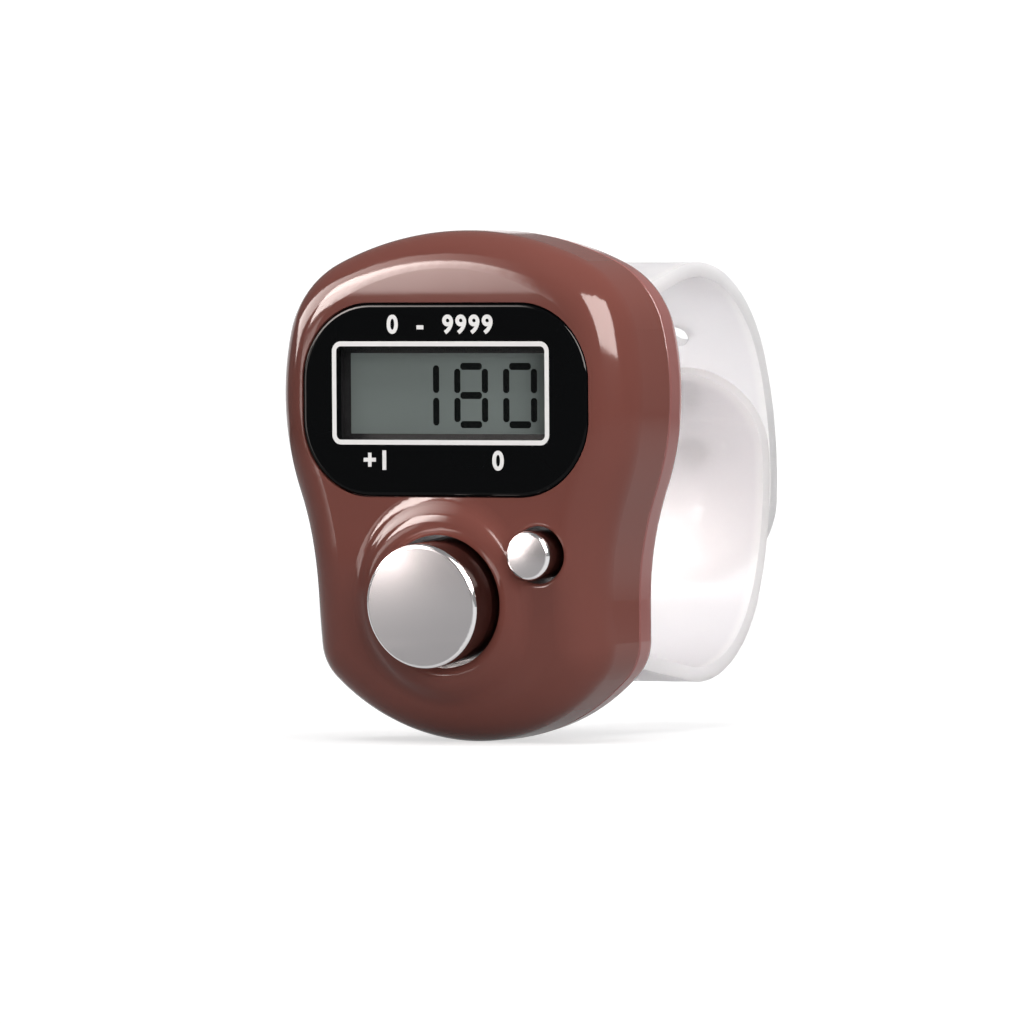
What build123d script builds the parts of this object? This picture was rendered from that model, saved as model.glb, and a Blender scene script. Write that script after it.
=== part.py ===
from build123d import *

import os
from math import acos, asin, atan2, cos, degrees, hypot, radians, sin, sqrt, tan

# Digital finger counter: a two-shell gloss case with a count and a reset button, a display and a finger strap.
# Frame, in millimetres: X to the right of someone reading the display, +Y from the display towards the
# finger, +Z up. The origin is the middle of the flat back face, so the display looks along -Y.

# Display cell: it sets the window, the lens and the width of the case
GLASS_WIDTH = 23.2
GLASS_HEIGHT = 10.4
GLASS_BOTTOM_Z = 1.6
GLASS_SHEET = 0.7
CONTACT_LEDGE = 1.9
FILM_THICKNESS = 0.2
FILM_INSET = 0.4
DISPLAY_GAP = 0.05

# Window in the front wall, and the lens over it with its tape
WINDOW_END_LAP = 1.2
WINDOW_TOP_LAP = 0.1
WINDOW_BOTTOM_LAP = 1.5
WINDOW_CORNER = 0.6
LENS_END_BORDER = 1.4
LENS_TOP_BORDER = 2.7
LENS_BOTTOM_BORDER = 2.3
LENS_CORNER = 6.2
LENS_THICKNESS = 1.0
LENS_CLEARANCE = 0.08
LENS_EDGE_RADIUS = 0.3
TAPE_THICKNESS = 0.15
TAPE_INSET = 0.3

# Display frame and elastomer connector
FRAME_CLEARANCE = 0.1
FRAME_WALL = 0.75
FRAME_REST = 0.8
ZEBRA_THICKNESS = 1.4
ZEBRA_END_INSET = 1.2

# Case outline, seen from the front: tangent arcs from the crown down to the base
LENS_MARGIN = 3.1
WAIST_INSET = 2.9
BROW_HEIGHT = 5.8
CHEEK_RISE = 0.4
BASE_DROP = 19.7
CROWN_RADIUS = 26.0
SHOULDER_RADIUS = 8.0
CHEEK_RADIUS = 23.0
WAIST_RADIUS = 25.0
CORNER_RADIUS = 4.2
BASE_RADIUS = 16.8

# Case depth and the front's side profile: flat behind the display, rolling back above and below it
CASE_DEPTH = 12.2
PARTING_DEPTH = 4.0
FLAT_ABOVE_GLASS = 1.6
FLAT_BELOW_LENS = 3.8
BROW_RADIUS = 24.0
CHIN_RADIUS = 50.0
PROFILE_OVERRUN = 1.4
FRONT_EDGE_RADIUS = 3.6
BACK_EDGE_RADIUS = 2.4
BACK_INSET = 0.4
SEAM_EDGE_RADIUS = 0.2
SIDE_WALL = 1.6
FRONT_WALL = 2.0
BACK_WALL = 1.5
LIP_HEIGHT = 0.9
LIP_THICKNESS = 0.7
LIP_CLEARANCE = 0.05

# Circuit board and what is on it
BOARD_FRONT_DEPTH = 6.6
BOARD_THICKNESS = 1.0
BOARD_ABOVE_GLASS = 0.9
BOARD_DROP = 5.55
BOARD_CLEARANCE = 0.4
BOARD_SCREW_INSET = 6.0
BOARD_SCREW_DROP = 0.3
BOARD_POST_RADIUS = 1.6
BLOB_RADIUS = 3.6
BLOB_HEIGHT = 1.2
BLOB_GAP = 0.3
CHIP_LENGTH = 2.0
CHIP_WIDTH = 1.2
CHIP_HEIGHT = 0.9
CHIP_X = 8.0
CHIP_Z = 8.0

# Button cell, 11.6 mm across, with its bridge clip and leaf contact
CELL_RADIUS = 5.8
CELL_THICKNESS = 3.05
CELL_CAP_RADIUS = 4.9
CELL_CAP_STEP = 0.35
CELL_Z = -3.0
CELL_FRONT_DEPTH = 5.1
CELL_EDGE_RADIUS = 0.3
CLIP_SHEET = 0.25
CLIP_WIDTH = 5.0
CLIP_SIDE_GAP = 0.3
CLIP_FOOT = 1.6
LEAF_SHEET = 0.15
LEAF_WIDTH = 3.0
LEAF_HALF_LENGTH = 3.6
LEAF_FOOT = 0.3

# Count button, square to the rolled front below the display, and reset button beside it
RESET_INSET = 4.9
RESET_BELOW_LENS = 4.6
BUTTON_SPACING = 8.7
COUNT_BELOW_LENS = 8.35
COUNT_RADIUS = 5.0
COUNT_PROUD = 3.6
COUNT_CROWN = 0.25
COUNT_TRAVEL = 1.0
COUNT_POST_RADIUS = 1.4
COUNT_COLLAR_RADIUS = 6.1
COUNT_COLLAR_HEIGHT = 0.6
COUNT_COLLAR_ROUND = 2.0
COUNT_COLLAR_SLOPE = 38.0
COUNT_COLLAR_BLEND = 2.2
COUNT_DOME_RADIUS = 4.4
COUNT_PLUNGER_RADIUS = 2.2
RESET_RADIUS = 1.95
RESET_PROUD = 1.65
RESET_CROWN = 0.12
RESET_TRAVEL = 0.7
RESET_POST_RADIUS = 0.4
RESET_MOUTH_RADIUS = 0.3
RESET_DOME_RADIUS = 2.4
RESET_PLUNGER_RADIUS = 1.0
BUTTON_CLEARANCE = 0.35
BUTTON_EDGE_RADIUS = 0.4
BUTTON_WALL = 0.7
FLANGE_WIDTH = 0.9
FLANGE_THICKNESS = 0.9
SEAT_WIDTH = 1.2
SEAT_DROP = 0.5
SEAT_GAP = 0.05
DOME_BASE_HEIGHT = 0.7
DOME_BASE_WIDTH = 0.9
DOME_WEB = 0.35
PILL_THICKNESS = 0.35
PILL_STOP_GAP = 0.05

# Finger strap: two soft tongues that leave slots in the back and button together behind the finger
STRAP_WIDTH = 14.0
STRAP_THICKNESS = 1.2
STRAP_EDGE_RADIUS = 0.4
STRAP_GAP = 0.1
SLOT_Z = 13.4
SLOT_SIDE_CLEARANCE = 0.2
SLOT_CLEARANCE = 0.3
ANCHOR_HEIGHT = 3.4
ANCHOR_DEPTH = 1.8
POCKET_CLEARANCE = 0.15
POCKET_WALL = 0.8
LOOP_DEPTH = 30.1
LOOP_BACK_RADIUS = 24.0
LOOP_TURN_RADIUS = 11.5
LOOP_TURN_START = 23.6
ROOT_BEND_RADIUS = 6.0
ROOT_STRAIGHT = 0.6
TIP_REACH = 8.8
PEG_RADIUS = 0.9
PEG_HOLE_CLEARANCE = 0.1
PEG_HEAD_RADIUS = 1.35
PEG_HEAD_THICKNESS = 0.55
PEG_HEAD_EDGE_RADIUS = 0.38
PEG_PITCH = 12.0
FIRST_HOLE_ANGLE = 28.9
HOLE_COUNT = 4
PEG_PLACES = (1, 2)

# Screws
CASE_SCREW_STRAP_GAP = 0.85
CASE_SCREW_RISE = 1.5
BASE_SCREW_RISE = 3.6
SCREW_RADIUS = 0.8
SCREW_LENGTH = 7.0
SCREW_HEAD_RADIUS = 1.45
SCREW_HEAD_HEIGHT = 0.9
SCREW_SINK = 0.4
SCREW_HOLE_CLEARANCE = 0.15
SCREW_EDGE_RADIUS = 0.28
THREAD_CLEARANCE = 0.02
PILOT_SPARE = 0.4
BOSS_WALL = 0.75
BOSS_CLEARANCE = 0.2
BOARD_SCREW_RADIUS = 0.7
BOARD_SCREW_LENGTH = 3.0
BOARD_SCREW_HEAD_RADIUS = 1.2
BOARD_SCREW_HEAD_HEIGHT = 0.8
DRIVE_WIDTH = 0.35
DRIVE_DEPTH = 0.4
DRIVE_MARGIN = 0.55

# Places across and up the case, each from the pieces that it goes with
GLASS_TOP_Z = GLASS_BOTTOM_Z + GLASS_HEIGHT
WINDOW_WIDTH = GLASS_WIDTH - 2 * WINDOW_END_LAP
WINDOW_BOTTOM_Z = GLASS_BOTTOM_Z + WINDOW_BOTTOM_LAP
WINDOW_TOP_Z = GLASS_TOP_Z - WINDOW_TOP_LAP
LENS_WIDTH = GLASS_WIDTH + 2 * LENS_END_BORDER
LENS_BOTTOM_Z = GLASS_BOTTOM_Z - LENS_BOTTOM_BORDER
LENS_TOP_Z = GLASS_TOP_Z + LENS_TOP_BORDER
LENS_Z = (LENS_BOTTOM_Z + LENS_TOP_Z) / 2
CHEEK_HALF_WIDTH = LENS_WIDTH / 2 + LENS_MARGIN
FLANK_HALF_WIDTH = CHEEK_HALF_WIDTH - WAIST_INSET
CHEEK_Z = LENS_Z + CHEEK_RISE
CASE_TOP = LENS_TOP_Z + BROW_HEIGHT
CASE_BOTTOM = LENS_BOTTOM_Z - BASE_DROP
FLAT_TOP_Z = GLASS_TOP_Z + FLAT_ABOVE_GLASS
FLAT_BOTTOM_Z = LENS_BOTTOM_Z - FLAT_BELOW_LENS
RESET_X = FLANK_HALF_WIDTH - RESET_INSET
RESET_Z = LENS_BOTTOM_Z - RESET_BELOW_LENS
COUNT_X = RESET_X - BUTTON_SPACING
COUNT_Z = LENS_BOTTOM_Z - COUNT_BELOW_LENS
BOARD_TOP_Z = GLASS_TOP_Z + BOARD_ABOVE_GLASS
BOARD_BOTTOM_Z = COUNT_Z - BOARD_DROP
BOARD_SCREW_X = CHEEK_HALF_WIDTH - BOARD_SCREW_INSET
BOARD_SCREW_Z = LENS_BOTTOM_Z - BOARD_SCREW_DROP
CLIP_HALF = CELL_RADIUS + CLIP_SIDE_GAP
CLIP_REACH = CLIP_HALF + CLIP_SHEET + CLIP_FOOT
BLOB_Z = CELL_Z + CLIP_REACH + BLOB_GAP + BLOB_RADIUS
BOSS_RADIUS = SCREW_RADIUS + BOSS_WALL
CASE_SCREW_X = STRAP_WIDTH / 2 + CASE_SCREW_STRAP_GAP + BOSS_RADIUS
CASE_SCREW_Z = SLOT_Z + CASE_SCREW_RISE
BASE_SCREW_Z = CASE_BOTTOM + BASE_SCREW_RISE
CASE_SCREWS = ((-CASE_SCREW_X, CASE_SCREW_Z), (CASE_SCREW_X, CASE_SCREW_Z), (0.0, BASE_SCREW_Z))

# Depths as Y values: the back face is Y = 0 and the front face is the most negative
FRONT_Y = -CASE_DEPTH
PARTING_Y = -PARTING_DEPTH
INNER_FRONT_Y = FRONT_Y + FRONT_WALL
INNER_BACK_Y = -BACK_WALL
RECESS_FLOOR_Y = FRONT_Y + LENS_THICKNESS + TAPE_THICKNESS
FILM_FRONT_Y = INNER_FRONT_Y + DISPLAY_GAP
FRONT_GLASS_Y = FILM_FRONT_Y + FILM_THICKNESS
BACK_GLASS_Y = FRONT_GLASS_Y + 2 * GLASS_SHEET
BOARD_FRONT_Y = -BOARD_FRONT_DEPTH
BOARD_BACK_Y = BOARD_FRONT_Y + BOARD_THICKNESS
CELL_BACK_Y = -CELL_FRONT_DEPTH + CELL_THICKNESS
CASE_SEAT_Y = -SCREW_SINK - SCREW_HEAD_HEIGHT

# Heights in a button's own frame, out from the front face
SEAT_HEIGHT = -FRONT_WALL - SEAT_DROP
FLANGE_TOP = SEAT_HEIGHT - SEAT_GAP
POST_END = FLANGE_TOP - FLANGE_THICKNESS / 2

# A cut or a construction block longer than anything in the case, and how square a face has to be to count
FAR = 100.0
TOUCHING = 0.001
UPRIGHT_ANGLE = 12.0
ACROSS_ANGLE = 24.0
SQUARE_ANGLE = 25.0


def point_on(centre, radius, angle):
    """The point of a circle at an angle in degrees."""
    return (centre[0] + radius * cos(radians(angle)), centre[1] + radius * sin(radians(angle)))


def bearing(start, end):
    """The direction from one point to another, in degrees."""
    return degrees(atan2(end[1] - start[1], end[0] - start[0]))


def arc(centre, radius, first, last):
    """A circular arc between two angles."""
    return ThreePointArc(*(point_on(centre, radius, a) for a in (first, (first + last) / 2, last)))


def cap_radius(half_width, rise):
    """The radius of an arc or sphere that rises so far over so wide a base."""
    return (half_width**2 + rise**2) / (2 * rise)


def facing_front(y):
    """The plane at depth y on which a sketch is seen from the front, and extrudes towards the front."""
    return Plane.XZ.offset(-y)


def slab(sketch, front, back):
    """A sketch drawn as seen from the front, given the thickness between two depths."""
    return extrude(facing_front(back) * sketch, amount=back - front)


def box(x_low, x_high, y_low, y_high, z_low, z_high):
    """A block between two corners."""
    size = (x_high - x_low, y_high - y_low, z_high - z_low)
    return Pos(x_low, y_low, z_low) * Box(*size, align=(Align.MIN, Align.MIN, Align.MIN))


def rod(x, z, radius, front, back):
    """A cylinder along Y."""
    return slab(Pos(x, z) * Circle(radius), front, back)


def disc(radius, height):
    """A cylinder that stands on its local XY plane."""
    return Cylinder(radius, height, align=(Align.CENTER, Align.CENTER, Align.MIN))


def turned(outline):
    """A solid turned about the local Z axis from an outline of (radius, height) edges in the XZ plane."""
    return revolve(Plane.XZ * make_face(outline), Axis.Z)


def case_outline():
    """The bell-shaped outline of the case, from its driving radii."""
    crown = (0, CASE_TOP - CROWN_RADIUS)
    cheek = (CHEEK_HALF_WIDTH - CHEEK_RADIUS, CHEEK_Z)
    base = (0, CASE_BOTTOM + BASE_RADIUS)

    # The shoulder arc touches the crown and cheek arcs from inside
    to_crown = CROWN_RADIUS - SHOULDER_RADIUS
    to_cheek = CHEEK_RADIUS - SHOULDER_RADIUS
    span = hypot(crown[0] - cheek[0], crown[1] - cheek[1])
    corner = degrees(acos((span**2 + to_cheek**2 - to_crown**2) / (2 * span * to_cheek)))
    shoulder = point_on(cheek, to_cheek, bearing(cheek, crown) + corner)

    # The hollow waist arc touches the cheek arc from outside and runs into the straight flank
    waist_x = FLANK_HALF_WIDTH + WAIST_RADIUS
    waist_drop = sqrt((CHEEK_RADIUS + WAIST_RADIUS) ** 2 - (waist_x - cheek[0]) ** 2)
    waist = (waist_x, cheek[1] - waist_drop)

    # The corner arc touches the flank and the base arc from inside
    corner_x = FLANK_HALF_WIDTH - CORNER_RADIUS
    corner_drop = sqrt((BASE_RADIUS - CORNER_RADIUS) ** 2 - corner_x**2)
    lower = (corner_x, base[1] - corner_drop)

    crown_end = bearing(crown, shoulder)
    shoulder_end = bearing(cheek, shoulder)
    cheek_end = bearing(cheek, waist)
    base_start = bearing(base, lower)
    half = [
        arc(crown, CROWN_RADIUS, 90, crown_end),
        arc(shoulder, SHOULDER_RADIUS, crown_end, shoulder_end),
        arc(cheek, CHEEK_RADIUS, shoulder_end, cheek_end),
        arc(waist, WAIST_RADIUS, cheek_end + 180, 180),
        Line((FLANK_HALF_WIDTH, waist[1]), (FLANK_HALF_WIDTH, lower[1])),
        arc(lower, CORNER_RADIUS, 0, base_start),
        arc(base, BASE_RADIUS, base_start, -90),
    ]
    return make_face(half + [edge.mirror(Plane.YZ) for edge in half])


def front_profile(depth_in):
    """The region behind the front's side profile, moved in by a wall, as a solid across the case."""
    flat_y = FRONT_Y + depth_in
    brow = (FRONT_Y + BROW_RADIUS, FLAT_TOP_Z)
    chin = (FRONT_Y + CHIN_RADIUS, FLAT_BOTTOM_Z)
    brow_radius = BROW_RADIUS - depth_in
    chin_radius = CHIN_RADIUS - depth_in
    brow_rise = degrees(asin((CASE_TOP - FLAT_TOP_Z + PROFILE_OVERRUN) / brow_radius))
    chin_fall = degrees(asin((FLAT_BOTTOM_Z - CASE_BOTTOM + PROFILE_OVERRUN) / chin_radius))
    top = point_on(brow, brow_radius, 180 - brow_rise)
    bottom = point_on(chin, chin_radius, 180 + chin_fall)
    edges = [
        arc(brow, brow_radius, 180 - brow_rise, 180),
        Line((flat_y, FLAT_TOP_Z), (flat_y, FLAT_BOTTOM_Z)),
        arc(chin, chin_radius, 180, 180 + chin_fall),
        Line(bottom, (FAR, bottom[1])),
        Line((FAR, bottom[1]), (FAR, top[1])),
        Line((FAR, top[1]), top),
    ]
    return extrude(Plane.YZ * make_face(edges), amount=FAR, both=True)


def rim_edges(shape, inward):
    """The edges where the upright side of a case half meets its rolled or flat front or back."""
    side = [f for f in shape.faces() if abs(f.normal_at().Y) < sin(radians(UPRIGHT_ANGLE))]
    across = [f for f in shape.faces() if f.normal_at().Y * inward > sin(radians(ACROSS_ANGLE))]
    side_edges = {edge for f in side for edge in f.edges()}
    return [edge for f in across for edge in f.edges() if edge in side_edges]


def button_frame(x, z):
    """The plane tangent to the front face at a button, with its local Z pointing out of the case."""
    lean = asin(max(0.0, FLAT_BOTTOM_Z - z) / CHIN_RADIUS)
    y = FRONT_Y + CHIN_RADIUS * (1 - cos(lean))
    return Plane(origin=(x, y, z), x_dir=(1, 0, 0), z_dir=(0, -cos(lean), -sin(lean)))


COUNT_FRAME = button_frame(COUNT_X, COUNT_Z)
RESET_FRAME = button_frame(RESET_X, RESET_Z)
OUTLINE = case_outline()
CAVITY_OUTLINE = offset(OUTLINE, -SIDE_WALL)


def count_collar():
    """The ring round the count button: a rounded inner lip, bored later, and a slope into the face."""
    inner = COUNT_RADIUS + BUTTON_CLEARANCE / 2
    lip = COUNT_COLLAR_RADIUS - inner
    lip_centre = (COUNT_COLLAR_RADIUS, COUNT_COLLAR_HEIGHT - lip)
    top_centre = (COUNT_COLLAR_RADIUS, COUNT_COLLAR_HEIGHT - COUNT_COLLAR_ROUND)
    slope_top = point_on(top_centre, COUNT_COLLAR_ROUND, 90 - COUNT_COLLAR_SLOPE)
    low = -FRONT_WALL / 2
    outer = slope_top[0] + (slope_top[1] - low) / tan(radians(COUNT_COLLAR_SLOPE))
    edges = [
        Line((inner, low), (inner, lip_centre[1])),
        arc(lip_centre, lip, 180, 90),
        arc(top_centre, COUNT_COLLAR_ROUND, 90, 90 - COUNT_COLLAR_SLOPE),
        Line(slope_top, (outer, low)),
        Line((outer, low), (inner, low)),
    ]
    return COUNT_FRAME * turned(edges)


def foot_edges(raised, block):
    """The edges along which the count button's collar meets the face of the block that it stands on."""
    found = []
    for edge in raised.edges():
        place = COUNT_FRAME.to_local_coords(edge @ 0.5)
        near = COUNT_COLLAR_RADIUS < hypot(place.X, place.Y) < COUNT_COLLAR_RADIUS + FRONT_EDGE_RADIUS
        if near and block.distance_to(edge @ 0.5) < TOUCHING and place.Z > -FRONT_WALL / 2:
            found.append(edge)
    return found


def mouth_edges(shell):
    """The edges of the reset button's bore in the front face."""
    found = []
    for edge in shell.edges():
        places = [RESET_FRAME.to_local_coords(edge @ along) for along in (0.0, 0.5, 1.0)]
        on_bore = [abs(hypot(p.X, p.Y) - RESET_RADIUS - BUTTON_CLEARANCE) < TOUCHING for p in places]
        if all(on_bore) and all(p.Z > -FRONT_WALL / 2 for p in places):
            found.append(edge)
    return found


def button_seat(radius):
    """The flat ring inside the front wall that a button's flange stops against."""
    return Pos(0, 0, SEAT_HEIGHT) * disc(radius + BUTTON_CLEARANCE + SEAT_WIDTH, SEAT_DROP + FRONT_WALL / 2)


def lens_outline(grow):
    """The window lens's outline, made larger or smaller all round."""
    height = LENS_TOP_Z - LENS_BOTTOM_Z
    return Pos(0, LENS_Z) * RectangleRounded(LENS_WIDTH + 2 * grow, height + 2 * grow, LENS_CORNER + grow)


def window_outline(grow):
    """The opening in the front wall through which the display is read."""
    height = WINDOW_TOP_Z - WINDOW_BOTTOM_Z
    middle = (WINDOW_TOP_Z + WINDOW_BOTTOM_Z) / 2
    return Pos(0, middle) * RectangleRounded(WINDOW_WIDTH + 2 * grow, height + 2 * grow, WINDOW_CORNER)


def make_front_shell():
    """Gloss front shell: a deep cup with the lens recess, collars, button bores and screw bosses."""
    block = slab(OUTLINE, FRONT_Y, PARTING_Y) & front_profile(0)
    block = fillet(rim_edges(block, -1), FRONT_EDGE_RADIUS)
    block = fillet(block.faces().sort_by(Axis.Y)[-1].edges(), SEAM_EDGE_RADIUS)
    raised = block + count_collar()
    raised = fillet(foot_edges(raised, block), COUNT_COLLAR_BLEND)
    shell = raised - (slab(CAVITY_OUTLINE, FRONT_Y, PARTING_Y) & front_profile(FRONT_WALL))

    # Bosses and posts stand on the inside of the front wall
    within = slab(CAVITY_OUTLINE, FRONT_Y, PARTING_Y) & front_profile(FRONT_WALL / 2)
    for x, z in CASE_SCREWS:
        shell += rod(x, z, BOSS_RADIUS, FRONT_Y, PARTING_Y) & within
    for side in (-1, 1):
        shell += rod(side * BOARD_SCREW_X, BOARD_SCREW_Z, BOARD_POST_RADIUS, FRONT_Y, BOARD_FRONT_Y) & within

    # Each button has a seat inside and a bore through it, and the reset button's bore has a rounded mouth
    shell += (COUNT_FRAME * button_seat(COUNT_RADIUS)) & block
    shell += (RESET_FRAME * button_seat(RESET_RADIUS)) & block
    shell -= COUNT_FRAME * Cylinder(COUNT_RADIUS + BUTTON_CLEARANCE, FAR)
    shell -= RESET_FRAME * Cylinder(RESET_RADIUS + BUTTON_CLEARANCE, FAR)
    shell = fillet(mouth_edges(shell), RESET_MOUTH_RADIUS)

    # The lens lies in a recess, over the display's window
    shell -= slab(lens_outline(LENS_CLEARANCE), -FAR, RECESS_FLOOR_Y)
    shell -= slab(window_outline(0), FRONT_Y, INNER_FRONT_Y)

    # Pilot holes for the screws
    for x, z in CASE_SCREWS:
        pilot_end = CASE_SEAT_Y - SCREW_LENGTH - PILOT_SPARE
        shell -= rod(x, z, SCREW_RADIUS + THREAD_CLEARANCE, pilot_end, PARTING_Y)
    for side in (-1, 1):
        pilot_end = BOARD_BACK_Y - BOARD_SCREW_LENGTH - PILOT_SPARE
        shell -= rod(side * BOARD_SCREW_X, BOARD_SCREW_Z, BOARD_SCREW_RADIUS + THREAD_CLEARANCE,
                     pilot_end, BOARD_FRONT_Y)
    return shell


def make_rear_shell():
    """Gloss rear shell: a shallow dish with strap slots and pockets, sunk screw seats and a locating lip."""
    back_outline = facing_front(0) * offset(OUTLINE, -BACK_INSET)
    block = loft([back_outline, facing_front(PARTING_Y) * OUTLINE], ruled=True)
    block = fillet(rim_edges(block, 1), BACK_EDGE_RADIUS)
    block = fillet(block.faces().sort_by(Axis.Y)[0].edges(), SEAM_EDGE_RADIUS)
    shell = block - slab(CAVITY_OUTLINE, PARTING_Y, INNER_BACK_Y)
    within = slab(CAVITY_OUTLINE, PARTING_Y, 0)

    # The lip stands inside the front shell's wall and makes room for the screw bosses
    lip_outline = offset(CAVITY_OUTLINE, -LIP_CLEARANCE)
    lip = slab(lip_outline - offset(lip_outline, -LIP_THICKNESS), PARTING_Y - LIP_HEIGHT, INNER_BACK_Y)
    for x, z in CASE_SCREWS:
        lip -= rod(x, z, BOSS_RADIUS + BOSS_CLEARANCE, -FAR, PARTING_Y)
    shell += lip

    # Two walls hold each strap half's anchor bar over its slot
    wall_middle = ANCHOR_HEIGHT / 2 + POCKET_CLEARANCE + POCKET_WALL / 2
    for slot_z in (-SLOT_Z, SLOT_Z):
        for wall_z in (slot_z - wall_middle, slot_z + wall_middle):
            shell += box(-STRAP_WIDTH / 2, STRAP_WIDTH / 2, INNER_BACK_Y - ANCHOR_DEPTH, INNER_BACK_Y,
                         wall_z - POCKET_WALL / 2, wall_z + POCKET_WALL / 2) & within
    for x, z in CASE_SCREWS:
        shell += rod(x, z, BOSS_RADIUS, PARTING_Y, INNER_BACK_Y) & within
    for slot_z in (-SLOT_Z, SLOT_Z):
        half_x = STRAP_WIDTH / 2 + SLOT_SIDE_CLEARANCE
        half_z = STRAP_THICKNESS / 2 + SLOT_CLEARANCE
        shell -= box(-half_x, half_x, INNER_BACK_Y, FAR, slot_z - half_z, slot_z + half_z)
    for x, z in CASE_SCREWS:
        shell -= rod(x, z, SCREW_HEAD_RADIUS + SCREW_HOLE_CLEARANCE, CASE_SEAT_Y, FAR)
        shell -= rod(x, z, SCREW_RADIUS + SCREW_HOLE_CLEARANCE, PARTING_Y, FAR)
    return shell


def make_display_lens():
    """Window lens: a flat rounded plate with its front edge rounded over."""
    lens = slab(lens_outline(0), FRONT_Y, FRONT_Y + LENS_THICKNESS)
    return fillet(lens.faces().sort_by(Axis.Y)[0].edges(), LENS_EDGE_RADIUS)


def make_lens_tape():
    """Adhesive ring between the lens and the floor of its recess."""
    ring = lens_outline(-TAPE_INSET) - window_outline(TAPE_INSET)
    return slab(ring, FRONT_Y + LENS_THICKNESS, RECESS_FLOOR_Y)


def make_lcd_glass():
    """Liquid crystal cell: a tall front sheet and a shorter rear sheet that leaves a contact ledge below."""
    half = GLASS_WIDTH / 2
    sheet = box(-half, half, FRONT_GLASS_Y, FRONT_GLASS_Y + GLASS_SHEET, GLASS_BOTTOM_Z, GLASS_TOP_Z)
    return sheet + box(-half, half, FRONT_GLASS_Y, BACK_GLASS_Y, GLASS_BOTTOM_Z + CONTACT_LEDGE, GLASS_TOP_Z)


def make_film(front, bottom, end_inset):
    """A thin optical film on the glass, a little inside its edges."""
    half = GLASS_WIDTH / 2 - end_inset
    return box(-half, half, front, front + FILM_THICKNESS, bottom + FILM_INSET, GLASS_TOP_Z - FILM_INSET)


def make_lcd_frame():
    """Display frame: a ring round the glass and connector, with rests behind the glass's ends."""
    half = GLASS_WIDTH / 2 + FRAME_CLEARANCE
    low = GLASS_BOTTOM_Z - FRAME_CLEARANCE
    high = GLASS_TOP_Z + FRAME_CLEARANCE
    ring = box(-half - FRAME_WALL, half + FRAME_WALL, FILM_FRONT_Y, BOARD_FRONT_Y,
               low - FRAME_WALL, high + FRAME_WALL)
    ring -= box(-half, half, FILM_FRONT_Y, BOARD_FRONT_Y, low, high)
    for x_low in (-half, half - FRAME_REST):
        ring += box(x_low, x_low + FRAME_REST, BACK_GLASS_Y, BOARD_FRONT_Y,
                    GLASS_BOTTOM_Z + CONTACT_LEDGE, high)
    return ring


def make_zebra_strip():
    """Elastomer connector: a square strip pressed between the glass's ledge and the board."""
    half = GLASS_WIDTH / 2 - ZEBRA_END_INSET
    low = GLASS_BOTTOM_Z + FRAME_CLEARANCE
    return box(-half, half, FRONT_GLASS_Y + GLASS_SHEET, BOARD_FRONT_Y, low, low + ZEBRA_THICKNESS)


def make_circuit_board():
    """Circuit board: the inside outline of the case, cut off level above and below, with two screw holes."""
    outline = offset(CAVITY_OUTLINE, -BOARD_CLEARANCE)
    middle = (BOARD_TOP_Z + BOARD_BOTTOM_Z) / 2
    outline &= Pos(0, middle) * Rectangle(FAR, BOARD_TOP_Z - BOARD_BOTTOM_Z)
    board = slab(outline, BOARD_FRONT_Y, BOARD_BACK_Y)
    for side in (-1, 1):
        board -= rod(side * BOARD_SCREW_X, BOARD_SCREW_Z, BOARD_SCREW_RADIUS + SCREW_HOLE_CLEARANCE,
                     BOARD_FRONT_Y, BOARD_BACK_Y)
    return board


def make_chip_blob():
    """Resin drop over the counter chip: a low spherical cap on the back of the board."""
    radius = cap_radius(BLOB_RADIUS, BLOB_HEIGHT)
    ball = Pos(0, BOARD_BACK_Y + BLOB_HEIGHT - radius, BLOB_Z) * Sphere(radius)
    return ball & box(-FAR, FAR, BOARD_BACK_Y, FAR, -FAR, FAR)


def make_chip(x):
    """Small surface-mounted component on the back of the board."""
    return box(x - CHIP_LENGTH / 2, x + CHIP_LENGTH / 2, BOARD_BACK_Y, BOARD_BACK_Y + CHIP_HEIGHT,
               CHIP_Z - CHIP_WIDTH / 2, CHIP_Z + CHIP_WIDTH / 2)


def make_button_cell():
    """Button cell: a can open towards the board, with the narrower negative cap proud of its rim."""
    can = rod(0, CELL_Z, CELL_RADIUS, -CELL_FRONT_DEPTH + CELL_CAP_STEP, CELL_BACK_Y)
    can = fillet(can.edges().filter_by(GeomType.CIRCLE), CELL_EDGE_RADIUS)
    return can + rod(0, CELL_Z, CELL_CAP_RADIUS, -CELL_FRONT_DEPTH, CELL_BACK_Y - CELL_EDGE_RADIUS)


def make_cell_clip():
    """Positive contact: a bent bridge of spring sheet over the cell, its two feet on the board."""
    half_x = CLIP_WIDTH / 2
    outer = CLIP_HALF + CLIP_SHEET
    clip = box(-half_x, half_x, CELL_BACK_Y, CELL_BACK_Y + CLIP_SHEET, -outer, outer)
    clip += box(-half_x, half_x, BOARD_BACK_Y, CELL_BACK_Y, CLIP_HALF, outer)
    clip += box(-half_x, half_x, BOARD_BACK_Y, CELL_BACK_Y, -outer, -CLIP_HALF)
    clip += box(-half_x, half_x, BOARD_BACK_Y, BOARD_BACK_Y + CLIP_SHEET, CLIP_HALF, CLIP_REACH)
    clip += box(-half_x, half_x, BOARD_BACK_Y, BOARD_BACK_Y + CLIP_SHEET, -CLIP_REACH, -CLIP_HALF)
    return Pos(0, 0, CELL_Z) * clip


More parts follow.
